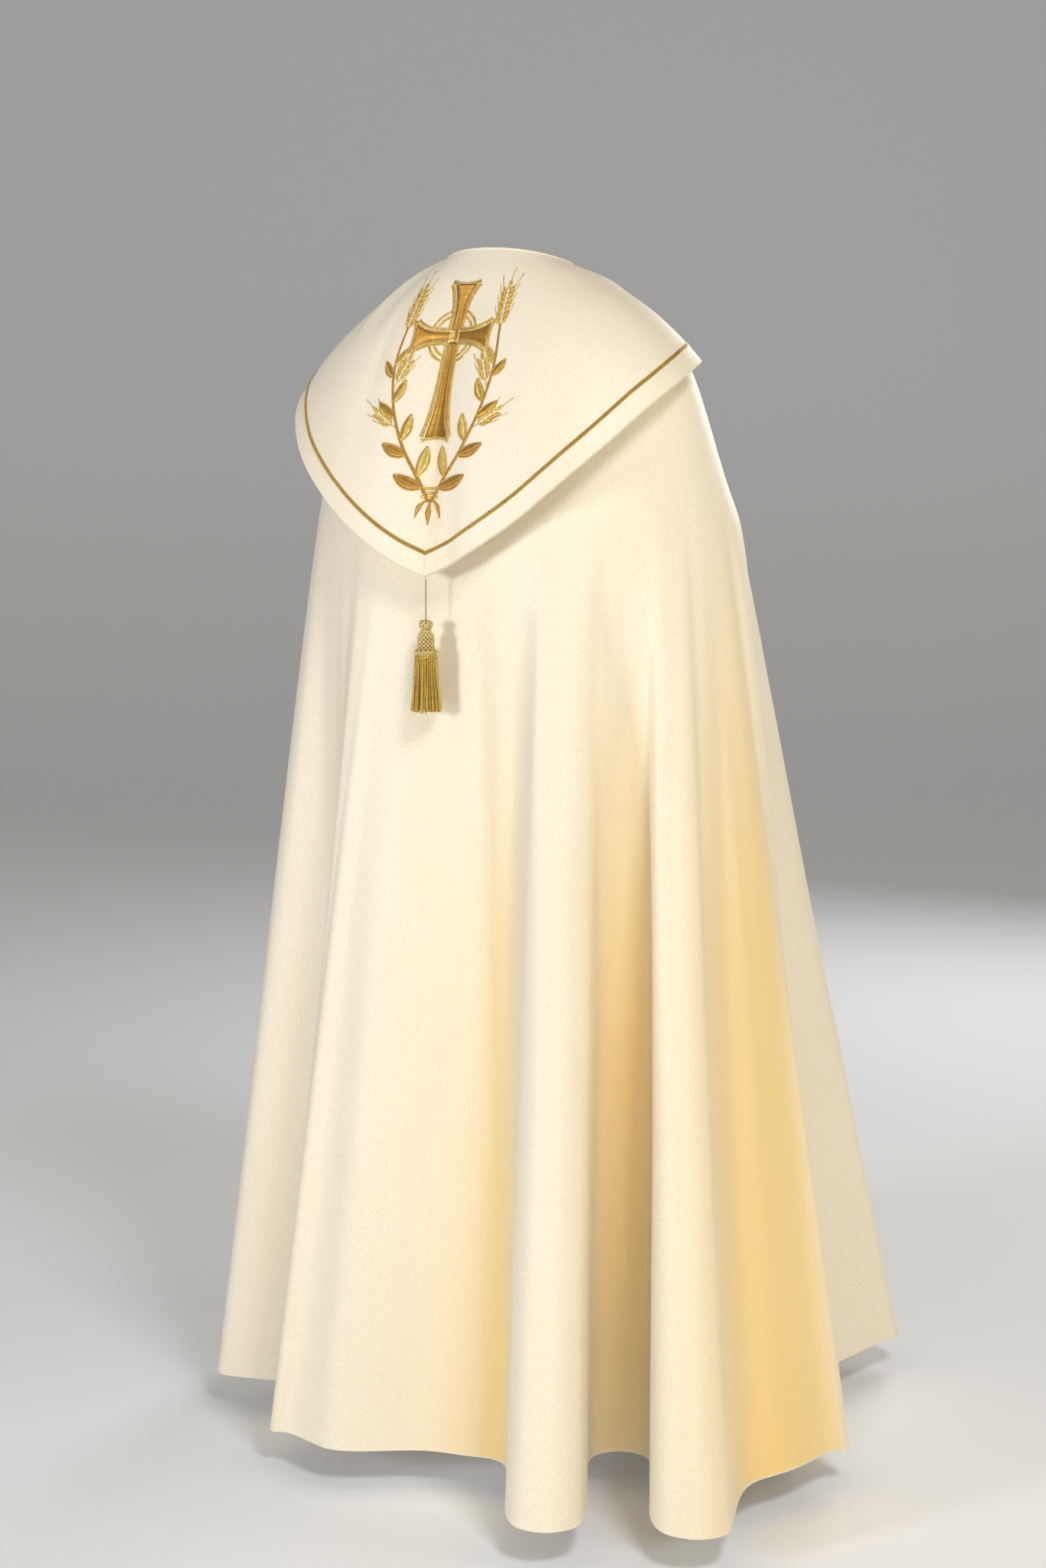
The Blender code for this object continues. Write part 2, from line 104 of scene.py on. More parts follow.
# %% Lamps and world
AIMED_AT = Vector((0, 0, -0.6))
LAMP_COLUMNS = ("name", "aside", "nearer", "height", "size", "power", "colour")
LAMP_ROWS = (
    ("key lamp", -3.2, 2.4, -0.10, 0.7, 59.0, (0.98, 0.99, 1.0)),
    ("top lamp", 1.0, 2.5, 1.90, 0.8, 50.0, (1.0, 0.99, 0.98)),
    ("front lamp", 0.3, 3.5, -0.75, 1.2, 25.0, (1.0, 0.85, 0.58)),
    ("side lamp", 3.0, 0.9, 0.20, 1.3, 21.0, (1.0, 0.85, 0.60)),
    ("far lamp", 1.6, -3.3, 0.60, 1.2, 40.0, (1.0, 0.97, 0.92)),
)


def lamp(name, aside, nearer, height, size, power, colour):
    """A square area lamp, placed by its distances from the origin as the camera sees them."""
    data = bpy.data.lights.new(name, "AREA")
    data.energy, data.size, data.color = power, size, colour
    obj = bpy.data.objects.new(name, data)
    bpy.context.scene.collection.objects.link(obj)
    obj.location = aside * picture_right - nearer * level_ahead + Vector((0, 0, height))
    obj.rotation_mode = "QUATERNION"
    obj.rotation_quaternion = (AIMED_AT - obj.location).to_track_quat("-Z", "Y")


for row in LAMP_ROWS:
    lamp(**dict(zip(LAMP_COLUMNS, row)))
world = bpy.data.worlds.new("studio")
bpy.context.scene.world = world
world.use_nodes = True
background = world.node_tree.nodes["Background"].inputs
background["Color"].default_value = (1.0, 0.90, 0.72, 1.0)
background["Strength"].default_value = 0.21
bpy.context.scene.view_settings.view_transform = "Standard"

# %% [markdown]
# ## Smooth curves through short tables
# The folds of the cope are described by small tables, with a row for each fold. Two curves turn tables
# into smooth cloth: a cubic between the values of a column, and a Catmull-Rom spline through points.
# Blender's own curve objects could do the second, but here we also need to know where each point of cloth
# came from.


# %% Curves through tables
def column(names, rows, name):
    """One column of a table as an array."""
    return np.array([row[names.index(name)] for row in rows], dtype=float)


def hermite(t, y0, y1, slope0, slope1):
    """A cubic from y0 to y1 as t runs from 0 to 1."""
    rise = 3 * t**2 - 2 * t**3
    return (1 - rise) * y0 + (t**3 - 2 * t**2 + t) * slope0 + rise * y1 + (t**3 - t**2) * slope1


def smooth(at, xs, ys, level_start=True):
    """A smooth curve through a table's points, with the slopes of the neighbouring points."""
    slope = np.gradient(ys, xs)
    if level_start:
        slope[0] = 0.0
    at = np.clip(at, xs[0], xs[-1])
    i = np.clip(np.searchsorted(xs, at, side="right") - 1, 0, len(xs) - 2)
    width = xs[i + 1] - xs[i]
    return hermite((at - xs[i]) / width, ys[i], ys[i + 1], width * slope[i], width * slope[i + 1])


def polar(radius, bearing, height):
    """Points at a radius, a bearing in degrees and a height, as x, y, z."""
    b = np.radians(bearing)
    return np.stack(np.broadcast_arrays(radius * np.sin(b), radius * np.cos(b), height), axis=-1)


def spline(points, per_span):
    """A smooth open curve through points: centripetal Catmull-Rom."""
    p = np.vstack([2 * points[0] - points[1], points, 2 * points[-1] - points[-2]])
    knots = np.concatenate([[0], np.cumsum(np.linalg.norm(np.diff(p, axis=0), axis=1) ** 0.5)])
    out = []
    for i in range(1, len(p) - 2):
        t = np.linspace(knots[i], knots[i + 1], per_span, endpoint=False)[:, None]
        k0, k1, k2, k3 = knots[i - 1 : i + 3]
        a1 = ((k1 - t) * p[i - 1] + (t - k0) * p[i]) / (k1 - k0)
        a2 = ((k2 - t) * p[i] + (t - k1) * p[i + 1]) / (k2 - k1)
        a3 = ((k3 - t) * p[i + 1] + (t - k2) * p[i + 2]) / (k3 - k2)
        b1 = ((k2 - t) * a1 + (t - k0) * a2) / (k2 - k0)
        b2 = ((k3 - t) * a2 + (t - k1) * a3) / (k3 - k1)
        out.append(((k2 - t) * b1 + (t - k1) * b2) / (k2 - k1))
    return np.vstack(out + [points[-1:]])


def unit(vectors):
    """Vectors of length 1."""
    return vectors / np.linalg.norm(vectors, axis=-1, keepdims=True)


def run(points):
    """The distance of each point along a line of points."""
    return np.concatenate([[0.0], np.cumsum(np.linalg.norm(np.diff(points, axis=0), axis=1))])


print("a quarter turn at 1 m:", polar(1.0, 90.0, 0.0).round(3))

# %% [markdown]
# ## The shoulders
# Over the shoulders the cloth rests on the wearer, so it is a smooth dome, the same on both sides. Its
# table gives radius and height at the neckline, the crown of the shoulder, the shoulder's tip and the
# line from which the cloth hangs free. A bearing is an angle round the vertical from the centre back,
# positive towards the wearer's left.

# %% The dome over the shoulders
SHOULDER_COLUMNS = (
    "bearing", "neck_r", "neck_z", "crown_r", "crown_z", "tip_r", "tip_z", "hang_r", "hang_z",
)
SHOULDER_ROWS = (
    (0, 0.080, 0.000, 0.114, -0.050, 0.146, -0.150, 0.168, -0.290),
    (35, 0.083, -0.003, 0.124, -0.046, 0.176, -0.135, 0.205, -0.290),
    (65, 0.084, -0.010, 0.132, -0.042, 0.204, -0.118, 0.238, -0.290),
    (90, 0.081, -0.018, 0.134, -0.045, 0.216, -0.120, 0.256, -0.295),
    (120, 0.075, -0.037, 0.120, -0.070, 0.196, -0.148, 0.262, -0.300),
    (150, 0.073, -0.060, 0.104, -0.092, 0.156, -0.168, 0.232, -0.305),
    (174, 0.076, -0.072, 0.098, -0.104, 0.132, -0.175, 0.190, -0.310),
)
FRONT = 174.0
LEVELS = ("neck", "crown", "tip", "hang")
STEP_DOWN = 0.01
STEP_ROUND = 0.5


def shoulder(name, bearing):
    """One column of the shoulders' table at a bearing."""
    at = column(SHOULDER_COLUMNS, SHOULDER_ROWS, "bearing")
    return smooth(np.abs(bearing), at, column(SHOULDER_COLUMNS, SHOULDER_ROWS, name))


def dome_profile(bearing, v):
    """Radius and height of the cloth over the shoulders, from the neckline (v 0) to the hang line (v 1)."""
    bearing, v = np.broadcast_arrays(np.asarray(bearing, float), np.asarray(v, float))
    at = np.clip(v, 0, 1) * 3
    i = np.clip(at.astype(int), 0, 2)
    profile = []
    for letter in ("r", "z"):
        level = np.array([shoulder(f"{name}_{letter}", bearing) for name in LEVELS])

        def pick(k):
            return np.take_along_axis(level, np.clip(k, 0, 3)[None], 0)[0]

        slope0 = (pick(i + 1) - pick(i - 1)) / np.where(i > 0, 2, 1)
        slope1 = (pick(i + 2) - pick(i)) / np.where(i < 2, 2, 1)
        profile.append(hermite(at - i, pick(i), pick(i + 1), slope0, slope1))
    return profile


def shoulder_point(bearing, v):
    """A point of the cloth over the shoulders."""
    r, z = dome_profile(bearing, v)
    return polar(r, bearing, z)


def on_cloth(bearing, v, lift):
    """Points a distance outside the cloth of the shoulders."""
    above, below = np.maximum(v - STEP_DOWN, 0), np.minimum(v + STEP_DOWN, 1)
    down = shoulder_point(bearing, below) - shoulder_point(bearing, above)
    round_it = shoulder_point(bearing - STEP_ROUND, v) - shoulder_point(bearing + STEP_ROUND, v)
    return shoulder_point(bearing, v) + lift * unit(np.cross(down, round_it))


print("centre back of the neckline:", shoulder_point(0.0, 0.0).round(3))

# %% [markdown]
# ## The hem
# Below the hang line the cloth falls in deep folds, and they are plainest at the hem, seen from above.
# Each row of this table is one crest, one valley or one plain point. A rounded end is a tip between two
# flanks, so a fold can be narrow-necked like the two flutes at the back.

# %% The hem's folds
DROP = 1.41
START_HANDLE = 0.10
END_HANDLE = 0.42
POINTS_A_SPAN = 24
HOME_EASE = 60
METRES_FOR_A_RADIAN = 0.05
FOLD_COLUMNS = ("name", "bearing", "radius", "axis", "half_width", "kind", "home")
FOLD_ROWS = (
    ("left edge", 168, 0.372, 168, 0.000, 1, 174),
    ("left edge valley", 161, 0.366, 164, 0.018, -1, 164),
    ("left front crest", 153, 0.470, 156, 0.028, 1, 152),
    ("left front valley", 142, 0.345, 146, 0.030, -1, 139),
    ("left elbow crest", 131, 0.510, 133, 0.044, 1, 122),
    ("left elbow valley", 117, 0.315, 118, 0.036, -1, 107),
    ("left side crest", 103, 0.455, 103, 0.044, 1, 94),
    ("left side valley", 89, 0.280, 88, 0.034, -1, 82),
    ("left tail crest", 76.5, 0.405, 73, 0.030, 1, 66),
    ("left tail valley", 63, 0.215, 68, 0.026, -1, 43),
    ("left back crest", 40, 0.320, 46, 0.014, 1, 24),
    ("back panel left", 22, 0.283, 22, 0.000, 1, 12),
    ("back panel middle", 4, 0.212, 4, 0.000, 1, -3),
    ("back panel right", -13, 0.205, -13, 0.000, 1, -18),
    ("back panel end", -25, 0.218, -20, 0.000, -1, -32),
    ("back flute", -34.4, 0.422, -30, 0.044, 1, -45),
    ("flute recess", -63.5, 0.217, -31, 0.037, -1, -61),
    ("quarter flute", -54.4, 0.483, -30, 0.050, 1, -77),
    ("quarter wall", -75, 0.389, -75, 0.000, 1, -87),
    ("quarter wall end", -86, 0.402, -86, 0.000, 1, -94),
    ("right side crest", -97, 0.430, -106, 0.016, 1, -102),
    ("right side valley", -121, 0.290, -112, 0.034, -1, -115),
    ("right elbow crest", -147.5, 0.577, -142, 0.040, 1, -132),
    ("right front valley", -153, 0.395, -148, 0.028, -1, -146),
    ("right front crest", -161.5, 0.465, -163, 0.026, 1, -160),
    ("right edge", -168, 0.372, -168, 0.000, 1, -174),
)


def fold_end(row):
    """One fold's rounded end in plan, half a circle about its tip, or the tip alone."""
    fold = dict(zip(FOLD_COLUMNS, row))
    tip = polar(fold["radius"], fold["bearing"], 0.0)[:2]
    if not fold["half_width"]:
        return [tip]
    out = polar(1.0, fold["axis"], 0.0)[:2]
    to_left = np.array([out[1], -out[0]])
    ahead = fold["kind"] * out
    centre = tip - fold["half_width"] * ahead
    angles = np.radians((90, 45, 0, -45, -90))
    return [centre + fold["half_width"] * (np.sin(a) * to_left + np.cos(a) * ahead) for a in angles]


def hem_plan(columns):
    """The hem in plan, its points closer where it turns, and the bearing that each point hangs from."""
    points, tips = [], []
    for row in FOLD_ROWS:
        end = fold_end(row)
        tips.append(len(points) + len(end) // 2)
        points += end
    line = spline(np.array(points), POINTS_A_SPAN)
    arc = run(line)
    home = np.interp(arc, arc[np.array(tips) * POINTS_A_SPAN], column(FOLD_COLUMNS, FOLD_ROWS, "home"))
    before, after = 2 * home[0] - home[HOME_EASE:0:-1], 2 * home[-1] - home[-2 : -HOME_EASE - 2 : -1]
    padded = np.concatenate([before, home, after])
    window = np.hanning(2 * HOME_EASE + 1)
    home = np.convolve(padded, window / window.sum(), "valid")
    dx, dy = np.diff(line, axis=0).T
    turn = np.concatenate([[0, 0], np.abs(np.diff(np.unwrap(np.arctan2(dy, dx))))])
    measure = arc + METRES_FOR_A_RADIAN * np.cumsum(turn)
    at = np.linspace(0, measure[-1], columns + 1)
    plan = np.stack([np.interp(at, measure, line[:, k]) for k in (0, 1)], axis=1)
    return plan, np.interp(at, measure, home)


def cope_rows(columns, dome_rows, skirt_rows):
    """The cope's face as rows of points, from the neckline over the shoulders and down to its level hem."""
    plan, home = hem_plan(columns)
    rows = [on_cloth(home, k / dome_rows, 0.0) for k in range(dome_rows + 1)]
    hang = rows[-1]
    down = unit(hang - on_cloth(home, 0.98, 0.0))
    hem = np.column_stack([plan, np.full(len(plan), -DROP)])
    length = np.linalg.norm(hem - hang, axis=1)[:, None]
    first, second = hang + START_HANDLE * length * down, hem - END_HANDLE * (hem - hang)
    for k in range(1, skirt_rows + 1):
        t = k / skirt_rows
        upper = (1 - t) ** 3 * hang + 3 * (1 - t) ** 2 * t * first
        rows.append(upper + 3 * (1 - t) * t**2 * second + t**3 * hem)
    return np.array(rows), home


BODY_COLUMNS = 400
body_face, body_home = cope_rows(BODY_COLUMNS, 24, 78)
print("hem:", round(run(body_face[-1])[-1], 2), "m round,", len(FOLD_ROWS), "folds and points")

# %% [markdown]
# ## Creases
# Between its big folds real cloth has smaller ones: long soft ridges, hollows and drag lines, each of its
# own length and depth. A sculptor would brush them in. We list them in a table and move the
# cloth along its outward direction, so each can be tuned by name. A crease whose foot lies past the hem
# still has depth there.


# %% A crease moves the cloth in or out
def outward(points):
    """The outward directions of a face that is given as rows of points."""
    return unit(np.cross(np.gradient(points, axis=0), np.gradient(points, axis=1)))


MILLIMETRE = 0.001
CREASE_TOP_WIDTH, CREASE_WIDENING = 0.7, 0.6


def creased(points, across, down, creases):
    """The face with its creases: soft ridges, or troughs where the depth in millimetres is negative."""
    out, rise = outward(points), np.zeros(points.shape[:2])
    for _, across_top, down_top, across_foot, down_foot, half_width, depth in creases:
        t = np.clip((down - down_top) / (down_foot - down_top), 0, 1)
        reach = half_width * (CREASE_TOP_WIDTH + CREASE_WIDENING * t)
        off = (across - across_top - (across_foot - across_top) * t) / reach
        rise += MILLIMETRE * depth * np.sin(np.pi * t) ** 0.8 * np.exp(-(off**2))
    return points + rise[..., None] * out


# Each row: name, home and drop of its top, home and drop of its foot, half width in degrees, depth in mm.
BODY_CREASES = (
    ("back panel, long ridge", 3, 0.44, 1, 1.80, 6.0, 5.0),
    ("back panel, hollow by the flute", -16, 0.34, -24, 1.45, 5.0, -11.0),
    ("back panel, by the left ridge", 16, 0.80, 14, 1.85, 3.5, -5.0),
    ("under the hood's point", -8, 0.36, -5, 0.84, 3.5, -1.8),
    ("back flute's head", -38, 0.36, -43, 0.95, 4.0, 5.0),
    ("break above the recess", -52, 0.36, -59, 0.88, 5.0, -5.0),
    ("quarter flute's head", -67, 0.34, -75, 1.00, 4.0, 5.0),
    ("quarter wall, drag", -81, 0.30, -84, 1.80, 3.8, -13.0),
    ("quarter wall, ridge", -89, 0.50, -90.5, 1.90, 2.6, 8.0),
    ("right side, drag from the shoulder", -98, 0.26, -106, 1.20, 4.0, -8.5),
    ("right side, low ridge", -109, 0.78, -110, 1.70, 3.0, 3.0),
    ("right elbow, drag", -123, 0.35, -130, 0.98, 4.0, -4.0),
    ("right elbow, break", -138, 0.50, -136, 1.60, 3.0, 3.2),
    ("right front, hollow", -150, 0.46, -152, 1.22, 3.0, -3.0),
    ("right front, ridge", -165, 0.70, -167, 1.75, 2.5, 2.0),
    ("left back, ridge", 33, 0.46, 31, 1.25, 4.0, 2.4),
    ("left tail, hollow", 52, 0.40, 50, 1.60, 4.0, -3.0),
    ("left tail, ridge", 60, 0.72, 60, 1.80, 3.0, 3.0),
    ("left side, drag", 73, 0.35, 76, 1.05, 4.0, -3.6),
    ("left side, ridge", 88, 0.62, 88, 1.75, 3.0, 2.6),
    ("left elbow, drag", 100, 0.35, 103, 0.98, 4.0, -3.4),
    ("left elbow, break", 115, 0.56, 114, 1.70, 3.5, 3.0),
    ("left front, hollow", 130, 0.44, 131, 1.30, 3.5, -3.6),
    ("left front, ridge", 145, 0.66, 146, 1.80, 3.0, 2.4),
    ("left edge, hollow", 159, 0.50, 158, 1.45, 3.0, -2.6),
    ("left chest, pull from the clasp", 166, 0.14, 146, 0.46, 4.5, 2.4),
    ("left chest, hollow under the pull", 171, 0.18, 156, 0.50, 4.0, -2.0),
    ("right chest, pull from the clasp", -166, 0.14, -149, 0.43, 4.5, 2.0),
    ("right chest, hollow under the pull", -171, 0.18, -158, 0.54, 4.0, -2.4),
)
body_face = creased(body_face, body_home[None, :], -body_face[..., 2], BODY_CREASES)
print("body:", body_face.shape[:2], "points,", len(BODY_CREASES), "creases")

# %% [markdown]
# ## The hood's form
# The hood is one shield-shaped panel that hangs free from the neckline, a few millimetres off the
# shoulders. Each column of it is a curve from the neckline that leans towards one point and ends on the
# edge. The braid is sewn at a fixed distance inside the edge, so two rows of points are kept for its
# sides.

# %% The hood's rows of points
HOOD_FRONT = 162.0
HOOD_CLOTH = 0.0012
HOOD_CLEAR_AT_NECK = 0.0022
HOOD_CLEAR = 0.0068
HOOD_EASE = 0.25
HOOD_SOFTNESS = 0.001
LEAST_SLANT = 0.6
BRAID_INSET = 0.022
BRAID_WIDTH = 0.0045
HOOD_COLUMNS = ("bearing", "edge_r", "edge_z", "lean_r", "lean_z")
HOOD_ROWS = (
    (0, 0.210, -0.373, 0.176, -0.110),
    (12, 0.222, -0.352, 0.190, -0.105),
    (25, 0.234, -0.320, 0.202, -0.095),
    (45, 0.258, -0.250, 0.208, -0.075),
    (65, 0.266, -0.176, 0.200, -0.058),
    (90, 0.244, -0.128, 0.178, -0.050),
    (115, 0.200, -0.134, 0.154, -0.068),
    (140, 0.142, -0.130, 0.118, -0.084),
    (162, 0.100, -0.102, 0.090, -0.084),
)


def hood_profile(bearing, samples=120):
    """The hood's curve at a bearing from the neckline to its edge, kept clear of the shoulders."""
    at = column(HOOD_COLUMNS, HOOD_ROWS, "bearing")
    edge_r, edge_z, lean_r, lean_z = (
        smooth(abs(bearing), at, column(HOOD_COLUMNS, HOOD_ROWS, name), False) for name in HOOD_COLUMNS[1:]
    )
    share = np.linspace(0, 1, samples)
    under = np.stack(dome_profile(bearing, share), axis=1)
    slope = np.gradient(under, axis=0)
    out = unit(np.column_stack([-slope[:, 1], slope[:, 0]]))
    t = share[:, None]
    lean, edge = np.array([lean_r, lean_z]), np.array([edge_r, edge_z])
    line = (1 - t) ** 2 * under[0] + 2 * t * (1 - t) * lean + t**2 * edge
    near = np.argmin(np.linalg.norm(line[:, None] - under[None], axis=2), axis=1)
    off = np.sum((line - under[near]) * out[near], axis=1)
    ease = np.clip(share / HOOD_EASE, 0, 1)
    least = HOOD_CLEAR_AT_NECK + (HOOD_CLEAR - HOOD_CLEAR_AT_NECK) * ease
    lift = least + HOOD_SOFTNESS * np.log1p(np.exp((off - least) / HOOD_SOFTNESS))
    line += (lift - off)[:, None] * out[near]
    return polar(line[:, 0], bearing, line[:, 1])


def hood_rows(columns_a_side, rows_to_braid, rows_past_braid):
    """The hood's rows of points from the neckline to its edge, and how far down its column each one is."""
    bearings = np.linspace(HOOD_FRONT, -HOOD_FRONT, 2 * columns_a_side + 1)
    profiles = [hood_profile(b) for b in bearings]
    ahead = unit(np.diff(np.array([p[-1] for p in profiles]), axis=0))
    columns, shares = [], []
    for k, profile in enumerate(profiles):
        next_run, last_run = ahead[min(k, len(ahead) - 1)], ahead[max(k - 1, 0)]
        beside = unit(next_run if k == columns_a_side else last_run + next_run)
        down = unit(profile[-1] - profile[-6])
        slant = max(np.linalg.norm(np.cross(down, beside)), LEAST_SLANT)
        arc = run(profile)
        outer, inner = arc[-1] - BRAID_INSET / slant, arc[-1] - (BRAID_INSET + BRAID_WIDTH) / slant
        at = np.concatenate(
            [np.linspace(0, inner, rows_to_braid + 1), np.linspace(outer, arc[-1], rows_past_braid + 1)]
        )
        columns.append(np.stack([np.interp(at, arc, profile[:, j]) for j in range(3)], axis=1))
        shares.append(at / arc[-1])
    return np.array(columns).transpose(1, 0, 2), np.array(shares).T, bearings


# Each row: name, bearing and share of its top, bearing and share of its foot, half width, depth in mm.
HOOD_CREASES = (
    ("gather at the neckline's left corner", 60, -0.15, 51, 0.50, 3.6, 4.2),
    ("hollow beside the gather", 50, -0.12, 41, 0.46, 3.2, -1.6),
    ("second gather", 70, -0.10, 66, 0.36, 3.2, 2.4),
    ("faint fold left of the middle", 33, 0.22, 27, 0.78, 3.0, -1.6),
    ("faint ridge beside it", 25, 0.08, 21, 0.55, 3.0, 1.2),
    ("soft dent right of the middle", -26, 0.42, -22, 0.92, 6.0, -2.4),
    ("fold into the point", 0, 0.70, 0, 1.45, 2.2, 3.0),
    ("hollow right of the point", -9, 0.62, -8, 1.35, 4.0, -2.0),
    ("hollow left of the point", 10, 0.66, 10, 1.40, 4.5, -1.2),
    ("lower right edge, hollow", -29, 0.72, -31, 1.38, 6.0, -2.2),
    ("lower right edge, wave", -45, 0.60, -47, 1.32, 6.0, 3.2),
    ("lower left edge, hollow", 40, 0.70, 42, 1.34, 7.0, -1.8),
    ("right wing", -70, 0.30, -76, 1.25, 8.0, 2.4),
    ("left wing", 70, 0.36, 75, 1.28, 9.0, 2.0),
    ("right corner's drag", -96, 0.30, -101, 1.20, 6.0, -1.4),
    ("left corner's drag", 100, 0.32, 104, 1.24, 6.0, 1.6),
)
HOOD_ROWS_TO_BRAID = 34
HOOD_ROWS_PAST_BRAID = 8
hood_face, hood_share, hood_bearings = hood_rows(120, HOOD_ROWS_TO_BRAID, HOOD_ROWS_PAST_BRAID)
hood_face = creased(hood_face, hood_bearings[None, :], hood_share, HOOD_CREASES)
hood_out = outward(hood_face)
print("hood:", hood_face.shape[:2], "points; its edge is", round(run(hood_face[-1])[-1], 2), "m long")

# %% [markdown]
# ## One way to make every mesh
# Cloth, braid, cords and stitches are all grids of points: rows along the piece, columns across or round
# it. One function joins such grids into a mesh and gives it UVs in metres, so a weave keeps its real
# scale everywhere. Modelling each by hand would give the same faces with far more work.


# %% Skin a mesh over grids of points
GOLDEN = 0.618034


def skin(name, grids, closed=False):
    """One mesh from grids of points; closed grids are tubes and get caps."""
    verts, faces, uvs, start = [], [], [], 0
    for grid in grids:
        rows, cols = grid.shape[:2]
        looped = np.concatenate([grid, grid[:, :1]], axis=1) if closed else grid
        beside = np.linalg.norm(np.diff(looped, axis=1), axis=2)
        down = np.linalg.norm(np.diff(looped, axis=0), axis=2)
        u = np.concatenate([np.zeros((rows, 1)), np.cumsum(beside, axis=1)], axis=1)
        if not closed:
            u -= u[:, cols // 2, None]
        v = np.concatenate([np.zeros((1, looped.shape[1])), np.cumsum(down, axis=0)], axis=0)
        r, c = np.meshgrid(np.arange(rows - 1), np.arange(looped.shape[1] - 1), indexing="ij")
        corner_r = np.stack([r, r + 1, r + 1, r], -1).reshape(-1, 4)
        corner_c = np.stack([c, c, c + 1, c + 1], -1).reshape(-1, 4)
        faces += (start + corner_r * cols + corner_c % cols).tolist()
        uvs.append(np.stack([u[corner_r, corner_c], v[corner_r, corner_c]], -1).reshape(-1, 2))
        if closed:
            first_cap = [start + k for k in range(cols)]
            last_cap = [start + (rows - 1) * cols + k for k in range(cols)]
            faces += [first_cap, last_cap[::-1]]
            uvs.append(np.stack([u[0, :-1], v[0, :-1]], -1))
            uvs.append(np.stack([u[-1, :-1], v[-1, :-1]], -1)[::-1])
        verts.append(grid.reshape(-1, 3))
        start += rows * cols
    mesh = bpy.data.meshes.new(name)
    mesh.from_pydata(np.concatenate(verts), [], faces)
    mesh.uv_layers.new(name="metres").data.foreach_set("uv", np.concatenate(uvs).astype(np.float32).ravel())
    shades = [np.full(g.shape[0] * g.shape[1], (k * GOLDEN) % 1.0) for k, g in enumerate(grids)]
    layer = mesh.attributes.new("shade", "FLOAT", "POINT")
    layer.data.foreach_set("value", np.concatenate(shades).astype(np.float32))
    mesh.shade_smooth()
    obj = bpy.data.objects.new(name, mesh)
    bpy.context.scene.collection.objects.link(obj)
    print(f"{name}: {sum(len(f) - 2 for f in faces)} triangles")
    return obj


def tube(points, radius, sides=6):
    """Rings of points round a line, each square to it. The radius is one number, or one for each point."""
    along = unit(np.gradient(points, axis=0))
    start = np.cross(along[0], (0.0, 0.0, 1.0) if abs(along[0][2]) < 0.9 else (1.0, 0.0, 0.0))
    first = [unit(start)]
    for direction in along[1:]:
        first.append(unit(first[-1] - np.dot(first[-1], direction) * direction))
    first = np.array(first)
    second = np.cross(first, along)
    angle = np.linspace(0, 2 * np.pi, sides, endpoint=False)[None, :, None]
    size = np.broadcast_to(radius, len(points))[:, None, None]
    return points[:, None] + size * (np.cos(angle) * first[:, None] + np.sin(angle) * second[:, None])


def thicken(obj, thickness):
    """Gives a sheet its thickness, on its inner side."""
    solid = obj.modifiers.new("Cloth thickness", "SOLIDIFY")
    solid.thickness, solid.offset = thickness, -1.0
    rounding = obj.modifiers.new("Rounded edges", "BEVEL")
    rounding.width, rounding.segments = thickness / 3, 2
    rounding.limit_method, rounding.angle_limit = "ANGLE", math.radians(60)
    rounding.harden_normals = True
    return obj


# %% [markdown]
# ## Shader groups
# Several finishes here share the same effects: a weave, a nap, a slow change of tone, the wrapped look of
# metal thread. Each is a node group with named inputs, built once. In Blender 4.5 a group's sockets are
# made with interface.new_socket.


# %% Helpers for node trees
def node_group(name, inputs, outputs):
    """An empty shader group with its sockets, and its input and output nodes."""
    tree = bpy.data.node_groups.new(name, "ShaderNodeTree")
    for label, kind, value in inputs:
        socket = tree.interface.new_socket(label, in_out="INPUT", socket_type=kind)
        if value is not None:
            socket.default_value = value
    for label, kind in outputs:
        tree.interface.new_socket(label, in_out="OUTPUT", socket_type=kind)
    return tree, tree.nodes.new("NodeGroupInput").outputs, tree.nodes.new("NodeGroupOutput").inputs


def wire(tree, node, links):
    """Fills a node's inputs, each with a socket to join or with a plain value."""
    for key, value in links.items():
        if isinstance(value, bpy.types.NodeSocket):
            tree.links.new(value, node.inputs[key])
        else:
            node.inputs[key].default_value = value


def add(tree, kind, links=None, **settings):
    """A node with its settings and its inputs."""
    node = tree.nodes.new(kind)
    for name, value in settings.items():
        setattr(node, name, value)
    wire(tree, node, links or {})
    return node


def maths(tree, operation, *values):
    """The result of one Math node."""
    return add(tree, "ShaderNodeMath", dict(enumerate(values)), operation=operation).outputs[0]


def noise(tree, vector, scale, detail=2.0):
    """The grey value of a Noise texture."""
    node = add(tree, "ShaderNodeTexNoise", {"Vector": vector, "Scale": scale, "Detail": detail})
    return node.outputs["Fac"]


# %% The weave group
weave, given, made = node_group(
    "Satin weave",
    [("Coordinates", "NodeSocketVector", None), ("Threads a metre", "NodeSocketFloat", 1400.0)],
    [("Height", "NodeSocketFloat"), ("Tone", "NodeSocketFloat")],
)
split = add(weave, "ShaderNodeSeparateXYZ", {0: given["Coordinates"]})
turns = maths(weave, "MULTIPLY", given["Threads a metre"], 2 * math.pi)
warp = maths(weave, "SINE", maths(weave, "MULTIPLY", split.outputs["X"], turns))
weft = maths(weave, "SINE", maths(weave, "MULTIPLY", split.outputs["Y"], turns))
both = maths(weave, "MULTIPLY", warp, weft)
crossing = maths(weave, "MULTIPLY_ADD", both, 0.30, maths(weave, "MULTIPLY", warp, 0.2))
drawn_out = {0: given["Coordinates"], 1: (1.0, 0.06, 1.0)}
stretched = add(weave, "ShaderNodeVectorMath", drawn_out, operation="MULTIPLY")
slub = noise(weave, stretched.outputs[0], 420.0)
weave.links.new(maths(weave, "MULTIPLY_ADD", slub, 0.6, crossing), made["Height"])
weave.links.new(slub, made["Tone"])
print("group:", weave.name)

